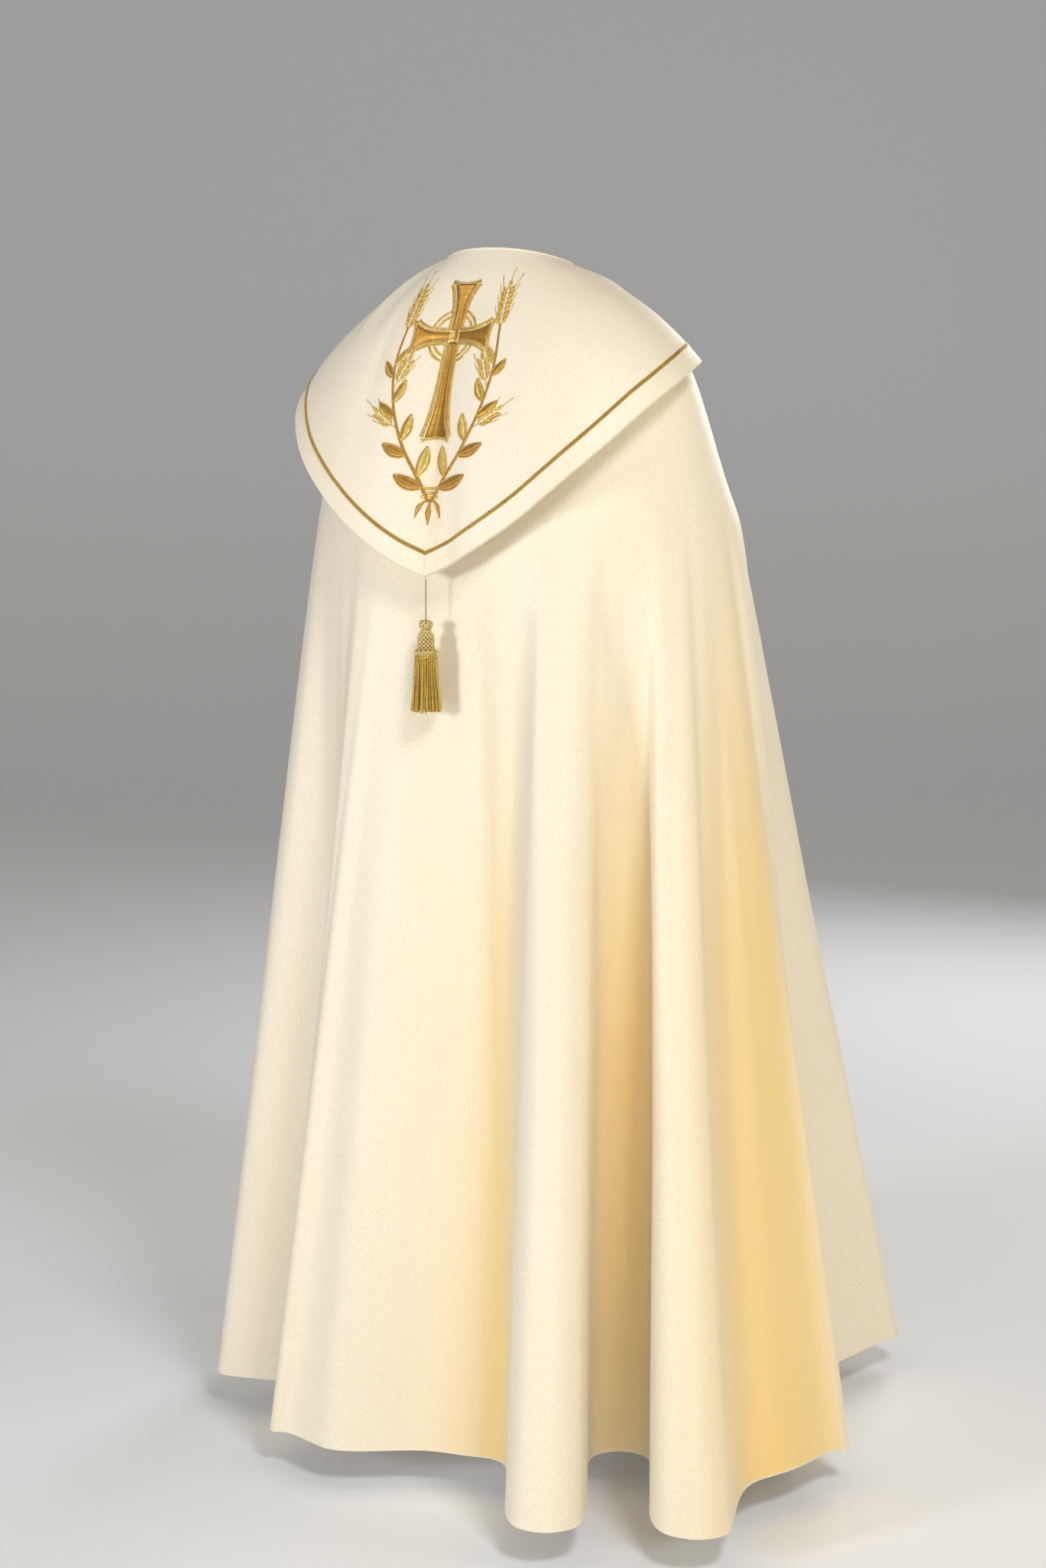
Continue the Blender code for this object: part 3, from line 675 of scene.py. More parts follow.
# %% The nap and mottle groups
nap, given, made = node_group(
    "Brushed nap",
    [("Coordinates", "NodeSocketVector", None), ("Grains a metre", "NodeSocketFloat", 650.0)],
    [("Height", "NodeSocketFloat"), ("Tone", "NodeSocketFloat")],
)
grain = noise(nap, given["Coordinates"], given["Grains a metre"], 4.0)
clump = noise(nap, given["Coordinates"], maths(nap, "MULTIPLY", given["Grains a metre"], 0.22), 2.0)
nap.links.new(maths(nap, "MULTIPLY_ADD", clump, 0.5, grain), made["Height"])
nap.links.new(grain, made["Tone"])

mottle, given, made = node_group(
    "Slow mottle",
    [("Coordinates", "NodeSocketVector", None), ("Patches a metre", "NodeSocketFloat", 4.0),
     ("Strength", "NodeSocketFloat", 0.3)],
    [("Mask", "NodeSocketFloat")],
)
patch = noise(mottle, given["Coordinates"], given["Patches a metre"], 3.0)
centred = maths(mottle, "SUBTRACT", patch, 0.5)
mottle.links.new(maths(mottle, "MULTIPLY_ADD", centred, given["Strength"], 0.5), made["Mask"])
print("groups:", nap.name, "and", mottle.name)

# %% The metal thread group
wrapped, given, made = node_group(
    "Wrapped metal thread",
    [("Coordinates", "NodeSocketVector", None), ("Threads a metre", "NodeSocketFloat", 2000.0),
     ("Slant", "NodeSocketFloat", 0.0)],
    [("Height", "NodeSocketFloat"), ("Tone", "NodeSocketFloat")],
)
split = add(wrapped, "ShaderNodeSeparateXYZ", {0: given["Coordinates"]})
leaning = maths(wrapped, "MULTIPLY_ADD", split.outputs["X"], given["Slant"], split.outputs["Y"])
count = maths(wrapped, "MULTIPLY", leaning, given["Threads a metre"])
ridge = maths(wrapped, "ABSOLUTE", maths(wrapped, "SINE", maths(wrapped, "MULTIPLY", count, math.pi)))
each = add(wrapped, "ShaderNodeTexWhiteNoise", {"W": maths(wrapped, "FLOOR", count)}, noise_dimensions="1D")
wrapped.links.new(ridge, made["Height"])
# Painted shade and highlight: the tone is darker in the grooves between the wraps and lighter on their
# ridges.
lit_ridge = maths(wrapped, "MULTIPLY", ridge, 0.5)
wrapped.links.new(maths(wrapped, "MULTIPLY_ADD", each.outputs["Value"], 0.5, lit_ridge), made["Tone"])
print("group:", wrapped.name)

# %% [markdown]
# ## Ivory cloth
# The cloth is a smooth, slightly napped wool satin: near white where it faces the light, golden in its
# folds, where light bounces from cloth to cloth. The Principled shader's sheen gives the soft bloom of
# the nap. That golden shade is painted: a mask that is stored on the mesh, strongest in the hollows,
# turns the colour there towards a darker gold.


# %% Helpers for finishes
# A Mix node has sockets for each kind of value. These are the numbers of those for colours.
MIX_SHARE, MIX_FIRST, MIX_SECOND, MIX_RESULT = 0, 6, 7, 2


def place(tree, group, links):
    """A copy of a node group in a material, with its inputs."""
    return add(tree, "ShaderNodeGroup", links, node_tree=group)


def blend_colour(tree, share, first, second):
    """A mix of two colours, each a socket or three numbers, by a share that varies over the surface."""
    first, second = (c if isinstance(c, bpy.types.NodeSocket) else (*c, 1.0) for c in (first, second))
    links = {MIX_SHARE: share, MIX_FIRST: first, MIX_SECOND: second}
    return add(tree, "ShaderNodeMix", links, data_type="RGBA").outputs[MIX_RESULT]


def bump(tree, height, strength, distance, **under):
    """The normal that a height gives, on top of another one if that is given."""
    links = {"Height": height, "Strength": strength, "Distance": distance, **under}
    return add(tree, "ShaderNodeBump", links).outputs[0]


def new_finish(name):
    """An empty material, with its node tree, its shader and its texture coordinates."""
    material = bpy.data.materials.new(name)
    material.use_nodes = True
    tree = material.node_tree
    return material, tree, tree.nodes["Principled BSDF"], tree.nodes.new("ShaderNodeTexCoord").outputs


# %% Cloth finish
def cloth_finish(name, lit, shaded, hollow, roughness):
    """A napped satin cloth with its colour, and the darker gold painted into its hollows as shade."""
    material, tree, shader, where = new_finish(name)
    threads = place(tree, weave, {"Coordinates": where["UV"], "Threads a metre": 1400.0})
    fuzz = place(tree, nap, {"Coordinates": where["Object"], "Grains a metre": 430.0})
    slow = place(tree, mottle, {"Coordinates": where["Object"], "Patches a metre": 5.0, "Strength": 0.9})
    # Painted shade: the stored hollow mask turns the colour towards the hollows' darker gold.
    deep = add(tree, "ShaderNodeAttribute", attribute_name="hollow").outputs["Fac"]
    slow_share = maths(tree, "MULTIPLY_ADD", slow.outputs["Mask"], 0.3, -0.57)
    tone = maths(tree, "MULTIPLY_ADD", fuzz.outputs["Tone"], 1.5, slow_share)
    base = blend_colour(tree, tone, lit, shaded)
    coarse = bump(tree, fuzz.outputs["Height"], 0.5, 0.0006)
    wire(tree, shader, {
        "Base Color": blend_colour(tree, deep, base, hollow),
        "Roughness": maths(tree, "MULTIPLY_ADD", threads.outputs["Tone"], 0.16, roughness - 0.08),
        "Normal": bump(tree, threads.outputs["Height"], 0.30, 0.00015, Normal=coarse),
        "Sheen Weight": 0.22,
        "Sheen Roughness": 0.45,
        "Sheen Tint": (1.0, 0.96, 0.86, 1.0),
        "Specular IOR Level": 0.42,
    })
    return material


# The third colour of each finish is the painted shade of its hollows.
ivory = cloth_finish("Ivory cloth", (0.92, 0.87, 0.76), (0.80, 0.71, 0.54), (0.93, 0.69, 0.28), 0.44)
ivory_back = cloth_finish("Ivory facing", (0.85, 0.77, 0.55), (0.79, 0.69, 0.45), (0.74, 0.58, 0.30), 0.60)
print("finishes:", ivory.name, "and", ivory_back.name)

# %% [markdown]
# ## Gold and brass
# The gold work is thread wrapped in thin metal strip: metal with fine ridges, its grooves painted darker
# as shade, and each stitch takes the light a little differently. The clasp is polished brass with some
# tarnish.


# %% Metal finishes
def gold_finish(name, bright, deep, threads, slant, metallic, roughness, by_piece):
    """Gold metal thread, ridged across its run, its grooves painted darker as shade. By_piece is how much
    each thread differs in tone.
    """
    material, tree, shader, where = new_finish(name)
    wrap = place(tree, wrapped, {"Coordinates": where["UV"], "Threads a metre": threads, "Slant": slant})
    slow = place(tree, mottle, {"Coordinates": where["Object"], "Patches a metre": 90.0, "Strength": 0.8})
    each = add(tree, "ShaderNodeAttribute", attribute_name="shade").outputs["Fac"]
    patches = maths(tree, "MULTIPLY", slow.outputs["Mask"], 0.2)
    uneven = maths(tree, "MULTIPLY_ADD", each, by_piece, patches)
    # Painted shade: the wrap's tone darkens the grooves between the wraps.
    tone = maths(tree, "MULTIPLY_ADD", wrap.outputs["Tone"], 0.85 - by_piece, uneven)
    wire(tree, shader, {
        "Base Color": blend_colour(tree, tone, deep, bright),
        "Roughness": maths(tree, "MULTIPLY_ADD", slow.outputs["Mask"], 0.2, roughness - 0.1),
        "Metallic": metallic,
        "Normal": bump(tree, wrap.outputs["Height"], 0.8, 0.00035),
    })
    return material


GOLD_COLUMNS = ("name", "bright", "deep", "threads", "slant", "metallic", "roughness", "by_piece")
GOLD_ROWS = (
    ("Gold braid", (1.00, 0.76, 0.24), (0.50, 0.28, 0.04), 900.0, 0.8, 0.50, 0.30, 0.35),
    ("Gold satin stitch", (1.00, 0.78, 0.26), (0.56, 0.32, 0.04), 1100.0, 0.0, 0.75, 0.27, 0.30),
    ("Brown gold satin stitch", (0.80, 0.46, 0.10), (0.30, 0.14, 0.02), 900.0, 0.0, 0.70, 0.32, 0.15),
    ("Couched gold cord", (1.00, 0.84, 0.38), (0.70, 0.46, 0.10), 900.0, 1.0, 0.70, 0.30, 0.35),
    ("Gold tassel thread", (1.00, 0.76, 0.18), (0.36, 0.18, 0.01), 700.0, 1.0, 0.30, 0.30, 0.65),
    ("Pale gold net", (1.00, 0.84, 0.42), (0.55, 0.38, 0.10), 700.0, 1.0, 0.30, 0.34, 0.20),
    # The core's dark colour is painted shade for the gaps in the net.
    ("Dull gold core, painted dark as shade", (0.40, 0.25, 0.05), (0.18, 0.10, 0.02), 900.0, 0.0, 0.30, 0.45, 0.35),
)
braid_gold, satin_gold, brown_gold, couched_gold, tassel_gold, net_gold, core_gold_as_net_shade = (
    gold_finish(**dict(zip(GOLD_COLUMNS, row))) for row in GOLD_ROWS
)
brass, brass_tree, brass_shader, brass_where = new_finish("Brass")
patchy = {"Coordinates": brass_where["Object"], "Patches a metre": 60.0, "Strength": 1.6}
tarnish = place(brass_tree, mottle, patchy).outputs["Mask"]
wire(brass_tree, brass_shader, {
    "Base Color": blend_colour(brass_tree, tarnish, (0.86, 0.65, 0.28), (0.55, 0.38, 0.15)),
    "Roughness": maths(brass_tree, "MULTIPLY_ADD", tarnish, 0.3, 0.12),
    "Metallic": 1.0,
})
print("finishes:", len(GOLD_ROWS), "golds and", brass.name)


# %% Dress a piece
def dress(obj, material):
    """A piece's finish, and the body it rides on."""
    obj.data.materials.clear()
    obj.data.materials.append(material)
    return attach(obj, "root")


def tube_piece(name, tubes, material):
    """One dressed piece made of tubes or bands."""
    return dress(skin(name, tubes, closed=True), material)


HOLLOW_POWER, HOLLOW_GAIN = 1.3, 1.4


def paint_shade_in_hollows(obj, points, reaches, extra_shade=0.0):
    """Stores painted shade, 0 to 1: how deep in a hollow each point lies, by its neighbours at some reaches
    in its row.
    """
    total = 0.0
    for reach, full_depth in reaches:
        left = np.concatenate([np.repeat(points[:, :1], reach, axis=1), points[:, :-reach]], axis=1)
        right = np.concatenate([points[:, reach:], np.repeat(points[:, -1:], reach, axis=1)], axis=1)
        depth = np.sum(((left + right) / 2 - points) * outward(points), axis=2) / full_depth
        total = total + np.clip(depth, 0, None) ** HOLLOW_POWER
    values = np.clip(1 - np.exp(-HOLLOW_GAIN * total) + extra_shade, 0, 1)
    layer = obj.data.attributes.new("hollow", "FLOAT", "POINT")
    layer.data.foreach_set("value", values.astype(np.float32).ravel())


# %% [markdown]
# ## The body's cloth
# The body is one sheet, so it is one skin with a Solidify modifier for its thickness. Its hem is a narrow
# rolled edge that catches the light, made as a thin tube along the fronts and the hem, and inside it a
# turned-up strip. A short table paints more golden shade into the hollows, where light bounces from fold
# to fold, and takes some away at one foot, as painted light from the floor.

# %% Body, rolled edge and hem turning
CLOTH = 0.0018
# Each pair: how many columns away the neighbours are, and the depth that counts as a full hollow.
BODY_HOLLOWS = ((14, 0.17), (30, 0.40))
HOOD_HOLLOWS = ((8, 0.03),)
body = thicken(skin("cope_body_cloth", [body_face]), CLOTH)
PAINTED_SHADE_DEPTH = 0.5
# Each row: name, home, half width in degrees, drop from which it grows, and amount of painted shade.
PAINTED_SHADE_ROWS = (
    ("panel beside the back flute", -26, 5.0, 0.30, 0.34),
    ("lee side of the back flute", -52, 3.5, 0.45, 0.30),
    ("recess between the flutes", -61, 6.0, 0.40, 0.18),
    ("foot of the recess, lit from the floor", -61, 7.0, 0.90, -0.50),
    ("wall in the lee of the flute", -88, 10.0, 0.30, 0.70),
    ("valley beside the quarter flute's head", -96, 5.0, 0.20, 0.45),
    ("side, behind its crest", -113, 4.0, 0.50, 0.25),
    ("left back, behind its crest", 42, 5.0, 0.50, 0.25),
    ("left elbow valley", 107, 5.0, 0.50, 0.30),
)
# Painted shade: each row adds golden shade to the hollows' mask, growing down from its drop; a negative
# amount paints light.
painted_fold_shade = 0.0
for _, home, half_width, top, amount in PAINTED_SHADE_ROWS:
    sunk = np.clip((-body_face[..., 2] - top) / PAINTED_SHADE_DEPTH, 0, 1)
    painted_fold_shade = painted_fold_shade + amount * sunk * np.exp(-(((body_home[None, :] - home) / half_width) ** 2))
paint_shade_in_hollows(body, body_face, BODY_HOLLOWS, painted_fold_shade)
dress(body, ivory)
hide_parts("cope_body")

body_out = outward(body_face)
EDGE_RADIUS = 0.0013
UNDER_BINDING = 3
inside = body_face - CLOTH / 2 * body_out
fronts = inside[UNDER_BINDING:, 0], inside[UNDER_BINDING:, -1][::-1]
edge_line = np.concatenate([fronts[0], inside[-1, 1:-1], fronts[1]])
edge_roll = tube_piece("rolled_edge", [tube(edge_line, EDGE_RADIUS, 8)], ivory)

SEAM_GAP = 0.0003
HEM_ROWS = 2
HEM_CLOTH = 0.0008
turned_up = (body_face - (CLOTH + SEAM_GAP) * body_out)[-1 - HEM_ROWS :]
hem_turning = thicken(skin("hem_turning", [turned_up]), HEM_CLOTH)
dress(hem_turning, ivory_back)
body_area = sum(p.area for p in body.data.polygons)
print("body's face:", round(body_area, 2), "m2")

# %% [markdown]
# ## Hood, facing and neck binding
# The hood is a second sheet. Its facing is a strip of the same cloth under its edge, cut 2 mm proud so
# that it peeps out below. A bias binding rolls over the neckline and closes body and hood together.

# %% Hood, facing and binding
FACING_PEEP = 0.002
FACING_ROWS = 5
hood_cloth = thicken(skin("hood_cloth", [hood_face]), HOOD_CLOTH)
# Painted shade: the hood's hollows are coloured darker gold, as on the body.
paint_shade_in_hollows(hood_cloth, hood_face, HOOD_HOLLOWS)
dress(hood_cloth, ivory)
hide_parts("hood")

facing_face = (hood_face - (HOOD_CLOTH + SEAM_GAP) * hood_out)[HOOD_ROWS_TO_BRAID - FACING_ROWS :].copy()
facing_face[-1] += FACING_PEEP * unit(hood_face[-1] - hood_face[-2])
facing = thicken(skin("hood_facing_cloth", [facing_face]), HOOD_CLOTH)
dress(facing, ivory_back)
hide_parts("hood_facing")

HOOD_EDGE_RADIUS = 0.0009
MITRE_RADIUS = 0.0005
hood_edge_line = (hood_face - HOOD_CLOTH / 2 * hood_out)[-1]
hood_roll = tube_piece("hood_rolled_edge", [tube(hood_edge_line, HOOD_EDGE_RADIUS, 8)], ivory)

past_braid, middle_column = HOOD_ROWS_TO_BRAID + 2, len(hood_bearings) // 2
mitre_line = (hood_face + 0.0002 * hood_out)[past_braid:, middle_column]
mitre_seam = tube_piece("hood_mitre_seam", [tube(mitre_line, MITRE_RADIUS)], ivory_back)

BINDING_RADIUS = 0.0026
BINDING_OUT = 0.0003
BINDING_COLUMNS = 361
binding_bearings = np.linspace(FRONT, -FRONT, BINDING_COLUMNS)
under_binding = on_cloth(binding_bearings, 0.0, BINDING_OUT)
up_the_cloth = unit(under_binding - on_cloth(binding_bearings, 0.02, BINDING_OUT))
binding_line = under_binding + (BINDING_RADIUS + 2 * SEAM_GAP) * up_the_cloth
step = np.arange(BINDING_COLUMNS)
pucker = BINDING_RADIUS * (1 + 0.05 * np.sin(step * 1.9) + 0.03 * np.sin(step * 0.7))
binding = tube_piece("neck_binding_cloth", [tube(binding_line, pucker, 14)], ivory)
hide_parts("neck_binding")

# %% [markdown]
# ## Gold braid
# The braid is a flat band with two corded ribs. Its section is a closed ring: a top with two humps and a
# flat underside. The humps swell and fall along the run with a slant, which is how a twisted cord looks.


# %% The braid's band
BRAID_THICKNESS = 0.0013
BRAID_FOOT = 0.0002
CORD_TWIST = 0.0021
CORD_SLANT = 0.8
RIB_FOOT, RIB_RISE, RIB_SWELL, RIB_SIDE = 0.35, 0.65, 0.16, 0.30
inner_side = spline(hood_face[HOOD_ROWS_TO_BRAID], 12)
outer_side = spline(hood_face[HOOD_ROWS_TO_BRAID + 1], 12)
braid_line = (inner_side + outer_side) / 2
braid_out = unit(spline(hood_out[HOOD_ROWS_TO_BRAID], 12))
across = np.linspace(-1, 1, 13)[None, :]
twist = np.sin(2 * np.pi * (run(braid_line)[:, None] / CORD_TWIST + CORD_SLANT * np.abs(across)))
ribs = RIB_FOOT + RIB_RISE * np.sin(np.pi * across) ** 2 * (1 + RIB_SWELL * twist)
ribs[:, [0, -1]] = RIB_SIDE
braid_side = unit(np.cross(braid_out, unit(np.gradient(braid_line, axis=0))))
braid_reach = braid_line[:, None] + (BRAID_WIDTH / 2 * across)[..., None] * braid_side[:, None]
braid_top = braid_reach + (BRAID_THICKNESS * ribs)[..., None] * braid_out[:, None]
braid_under = braid_reach[:, [-1, 0]] + BRAID_FOOT * braid_out[:, None]
braid_grid = np.concatenate([braid_top, braid_under], axis=1)
braid = tube_piece("hood_braid_gold", [braid_grid], braid_gold)
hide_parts("hood_braid")
print("braid:", round(run(braid_line)[-1], 2), "m")

# %% [markdown]
# ## Embroidery: where it lies
# The embroidery is drawn flat, as seen from straight behind, in metres left of the centre and below the
# neckline, and then laid on the hood. For that we need the hood's distance back at any such point, so we
# sample it once on a regular grid and read between its points.

# %% Lay flat drawings on the hood
FIELD_X = np.linspace(-0.116, 0.116, 117)
FIELD_Z = np.linspace(-0.345, -0.02, 164)
FIELD_BEARING = 62
FIELD_REACH = 0.004
columns_back = hood_face[:, np.abs(hood_bearings) < FIELD_BEARING][:, ::-1].transpose(1, 0, 2)
field = np.empty((len(FIELD_Z), len(FIELD_X)))
for k, z in enumerate(FIELD_Z):
    x_at, y_at = ([np.interp(-z, -line[:, 2], line[:, axis]) for line in columns_back] for axis in (0, 1))
    field[k] = np.interp(FIELD_X, x_at, y_at)


def on_hood(flat):
    """The points of a flat drawing on the hood's face, and the outward directions there."""
    x, z = flat[:, 0], flat[:, 1]
    step_x, step_z = FIELD_X[1] - FIELD_X[0], FIELD_Z[1] - FIELD_Z[0]

    def back(px, pz):
        fx, fz = (px - FIELD_X[0]) / step_x, (pz - FIELD_Z[0]) / step_z
        i, j = np.clip(fx.astype(int), 0, len(FIELD_X) - 2), np.clip(fz.astype(int), 0, len(FIELD_Z) - 2)
        sx, sz = fx - i, fz - j
        near = field[j, i] * (1 - sx) + field[j, i + 1] * sx
        far = field[j + 1, i] * (1 - sx) + field[j + 1, i + 1] * sx
        return near * (1 - sz) + far * sz

    slope_x = (back(x + FIELD_REACH, z) - back(x - FIELD_REACH, z)) / (2 * FIELD_REACH)
    slope_z = (back(x, z + FIELD_REACH) - back(x, z - FIELD_REACH)) / (2 * FIELD_REACH)
    out = unit(np.column_stack([-slope_x, np.ones(len(x)), -slope_z]))
    return np.column_stack([x, back(x, z), z]), out


print("hood's field:", field.shape, "from", field.min().round(3), "to", field.max().round(3), "m back")

# %% [markdown]
# ## Embroidery: stitches
# Satin stitch is a pad of thread laid side by side across a shape, raised in the middle. A couched cord
# outlines it. Both follow a line, so both are drawn from a few points each: the satin as a domed band
# with a width, the cord as a thin tube. The whole drawing is stretched a little from its foot, so that it
# fills the hood.

# %% Satin stitch and couched cord
satin_bright, satin_brown, cords = [], [], []
STITCH_RISE = 0.0012
STITCH_EDGE = 0.00035
FULL_PAD_WIDTH = 0.0022
DESIGN_FOOT = np.array((0.0, -0.315))
DESIGN_STRETCH = np.array((1.14, 1.15))
BOTH_SIDES = np.array(((1, 1), (-1, 1)))
TO_THE_SIDE = np.array(((0, -1), (1, 0)))
CORD_LIFT = 0.0006


def drawn(points, count):
    """A smooth line of evenly spaced points through a few points."""
    line = spline(np.array(points, float), 12)
    arc = run(line)
    at = np.linspace(0, arc[-1], count)
    return np.column_stack([np.interp(at, arc, line[:, k]) for k in range(line.shape[1])])


def placed(points, count):
    """Points of a drawn line, at the drawing's full size."""
    return DESIGN_FOOT + (drawn(points, count) - DESIGN_FOOT) * DESIGN_STRETCH


def satin(into, points, half_widths, count=26, rise=STITCH_RISE):
    """A satin stitched shape along a line, its half width read along the run."""
    flat = placed(points, count)
    square = unit(np.gradient(flat, axis=0)) @ TO_THE_SIDE
    widths = np.interp(np.linspace(0, 1, count), np.linspace(0, 1, len(half_widths)), half_widths)
    across = np.linspace(-1, 1, 9)
    spread = flat[:, None] + (widths[:, None] * across)[..., None] * square[:, None]
    face, out = (side.reshape(count, len(across), 3) for side in on_hood(spread.reshape(-1, 2)))
    dome = np.sqrt(np.clip(1 - across**2, 0.02, 1))
    heights = (STITCH_EDGE + rise * np.minimum(widths / FULL_PAD_WIDTH, 1.0))[:, None] * dome[None]
    under = face[:, [-1, 0]] + 0.0001 * out[:, [-1, 0]]
    into.append(np.concatenate([face + heights[..., None] * out, under], axis=1))


def couch(points, radius, count, lift=CORD_LIFT):
    """A cord couched down along a line."""
    line, out = on_hood(placed(points, count))
    cords.append(tube(line + lift * out, radius))


print("stitches rise", STITCH_RISE * 1000, "mm")

# %% [markdown]
# ## Embroidery: the design
# The design is a common one for church work: a plain cross with flared ends, between two sprays of wheat
# and leaves. The cross has brown-gold panels with bright satin borders. The right-hand spray is the left
# one mirrored.

# %% The cross
CROSS_MIDDLE = (0.0, -0.128)
ARMS = (("top", (0, 1), 0.052), ("left", (1, 0), 0.043), ("right", (-1, 0), 0.043), ("foot", (0, -1), 0.100))
WAIST = 0.0064
FLARE = 0.0160
PANEL_INSET = 0.0012
OUTLINE_OUT = 0.0022
END_OUTLINE_OUT = 0.0023
END_BOW = 0.003
OUTLINE = 0.0005
BOSS = 0.0072
BOSS_RISE = 0.0018
RINGS = (0.0215, 0.0265)


def cross_arm(direction, length):
    """One arm of the cross: a brown-gold panel, bright borders and a bowed end."""
    ahead, beside = np.array(direction, float), np.array((-direction[1], direction[0]), float)
    t = np.linspace(0, 1, 9)
    half = WAIST + (FLARE - WAIST) * t**3.2
    middle = np.array(CROSS_MIDDLE) + (WAIST + t * (length - WAIST))[:, None] * ahead
    satin(satin_brown, middle, half - PANEL_INSET, 34)
    for side in (1, -1):
        border = middle + side * half[:, None] * beside
        satin(satin_bright, border, (0.0017, 0.0017), 40)
        couch(border + side * OUTLINE_OUT * beside, OUTLINE, 40)
    end = [middle[-1] + w * half[-1] * beside + END_BOW * w**2 * ahead for w in (1, 0.5, 0, -0.5, -1)]
    satin(satin_bright, end, (0.0018, 0.0015, 0.0018), 24)
    couch([p + END_OUTLINE_OUT * ahead for p in end], OUTLINE, 24)


for _, direction, length in ARMS:
    cross_arm(direction, length)
boss_run = np.array(CROSS_MIDDLE) + BOSS * np.column_stack([np.linspace(-1, 1, 9), np.zeros(9)])
boss_widths = BOSS * np.sqrt(np.clip(1 - np.linspace(-1, 1, 17) ** 2, 0.01, 1))
satin(satin_bright, boss_run, boss_widths, 24, BOSS_RISE)
for radius in RINGS:
    for quarter in range(4):
        arc_angle = np.radians(np.linspace(22, 68, 6) + 90 * quarter)
        arc = np.array(CROSS_MIDDLE) + radius * np.column_stack([np.cos(arc_angle), np.sin(arc_angle)])
        satin(satin_bright, arc, (0.0014, 0.0018, 0.0014), 18)
print("cross:", len(ARMS), "arms,", len(satin_bright), "bright bands")

# %% The sprays of wheat and leaves
STEM = ((0.002, -0.292), (0.016, -0.268), (0.036, -0.236), (0.052, -0.196), (0.058, -0.156), (0.054, -0.118))
# Each row: share of the stem, side, length, lean from the stem in degrees, half width.
LEAVES = (
    (0.10, -1, 0.033, 50, 0.0066),
    (0.16, 1, 0.030, 58, 0.0060),
    (0.30, -1, 0.029, 48, 0.0060),
    (0.38, 1, 0.027, 55, 0.0056),
    (0.52, -1, 0.025, 46, 0.0052),
    (0.60, 1, 0.024, 52, 0.0050),
    (0.74, -1, 0.020, 44, 0.0043),
    (0.80, 1, 0.019, 48, 0.0041),
)
EARS = ((0.45, -1, 4), (0.67, 1, 4))
TOP_EAR_GRAINS = 7
LEAF_BEND = 0.22
LEAF_EDGE = 0.00052
FINE_CORD = 0.0004
RIB_LIFT = 0.0016
STALK = 0.010
GRAIN_STEP = 0.0052
GRAIN_LENGTH = 0.0098
GRAIN_WIDTHS = (0.0009, 0.0027, 0.0007)
GRAIN_RISE = 0.0015
BEARD = 0.0125


def heading_to(angle):
    """The direction of an angle in the drawing."""
    return np.array((np.cos(angle), np.sin(angle)))


def leaf(root, heading, length, half_width, bend, stitches):
    """A pointed leaf that bends, with its rib and its outline, in both sprays."""
    ahead = heading_to(heading)
    beside = np.array((-ahead[1], ahead[0])) * bend
    t = np.linspace(0, 1, 6)[:, None]
    rib = root + length * (t * ahead + LEAF_BEND * t**2 * beside)
    width = half_width * np.sin(np.pi * np.linspace(0.04, 0.97, 9)) ** 0.8
    edge_width = np.interp(t[:, 0], np.linspace(0, 1, 9), width)[:, None]
    edge = edge_width * (unit(np.gradient(rib, axis=0)) @ -TO_THE_SIDE)
    for turn in BOTH_SIDES:
        satin(stitches, rib * turn, width, 22)
        couch(rib * turn, FINE_CORD, 20, RIB_LIFT)
        couch((rib + edge) * turn, LEAF_EDGE, 20)
        couch((rib - edge) * turn, LEAF_EDGE, 20)


def wheat_ear(root, heading, grains):
    """An ear of wheat in both sprays: pairs of grains up a stalk, one more at its tip, and beards."""
    ahead, beside = heading_to(heading), heading_to(heading + math.pi / 2)
    for k in range(grains * 2 + 1):
        pair, side = k // 2, (1 if k % 2 else -1) if k < grains * 2 else 0
        start = root + GRAIN_STEP * pair * ahead + side * 0.0012 * beside
        tip = start + GRAIN_LENGTH * unit(ahead + side * 0.55 * beside)
        beard = tip + BEARD * unit(ahead + side * 0.30 * beside)
        for turn in BOTH_SIDES:
            grain = np.array([start, (start + tip) / 2, tip]) * turn
            satin(satin_bright, grain, GRAIN_WIDTHS, 12, GRAIN_RISE)
            if pair % 2 == 0 or side == 0:
                bowed = (tip + beard) / 2 + 0.0004 * beside * side
                couch(np.array([tip, bowed, beard]) * turn, FINE_CORD, 10)


stem_line = drawn(STEM, 60)
stem_heading = np.arctan2(*np.gradient(stem_line, axis=0).T[::-1])
for turn in BOTH_SIDES:
    satin(satin_brown, np.array(STEM) * turn, (0.0022, 0.0018, 0.0013), 60)
for number, (share, side, length, lean, half_width) in enumerate(LEAVES):
    at = int(share * 59)
    stitches = satin_bright if number % 2 else satin_brown
    leaf(stem_line[at], stem_heading[at] + side * math.radians(lean), length, half_width, -side, stitches)
wheat_ear(stem_line[-1], stem_heading[-1], TOP_EAR_GRAINS)
for share, side, grains in EARS:
    at = int(share * 59)
    foot, head = stem_line[at], stem_line[at] + STALK * heading_to(stem_heading[at] + side * 0.6)
    for turn in BOTH_SIDES:
        couch(np.array([foot, (foot + head) / 2, head]) * turn, 0.0006, 10)
    wheat_ear(head, stem_heading[at] + side * 0.55, grains)
print("sprays:", len(LEAVES), "leaves and", 1 + len(EARS), "ears a side")

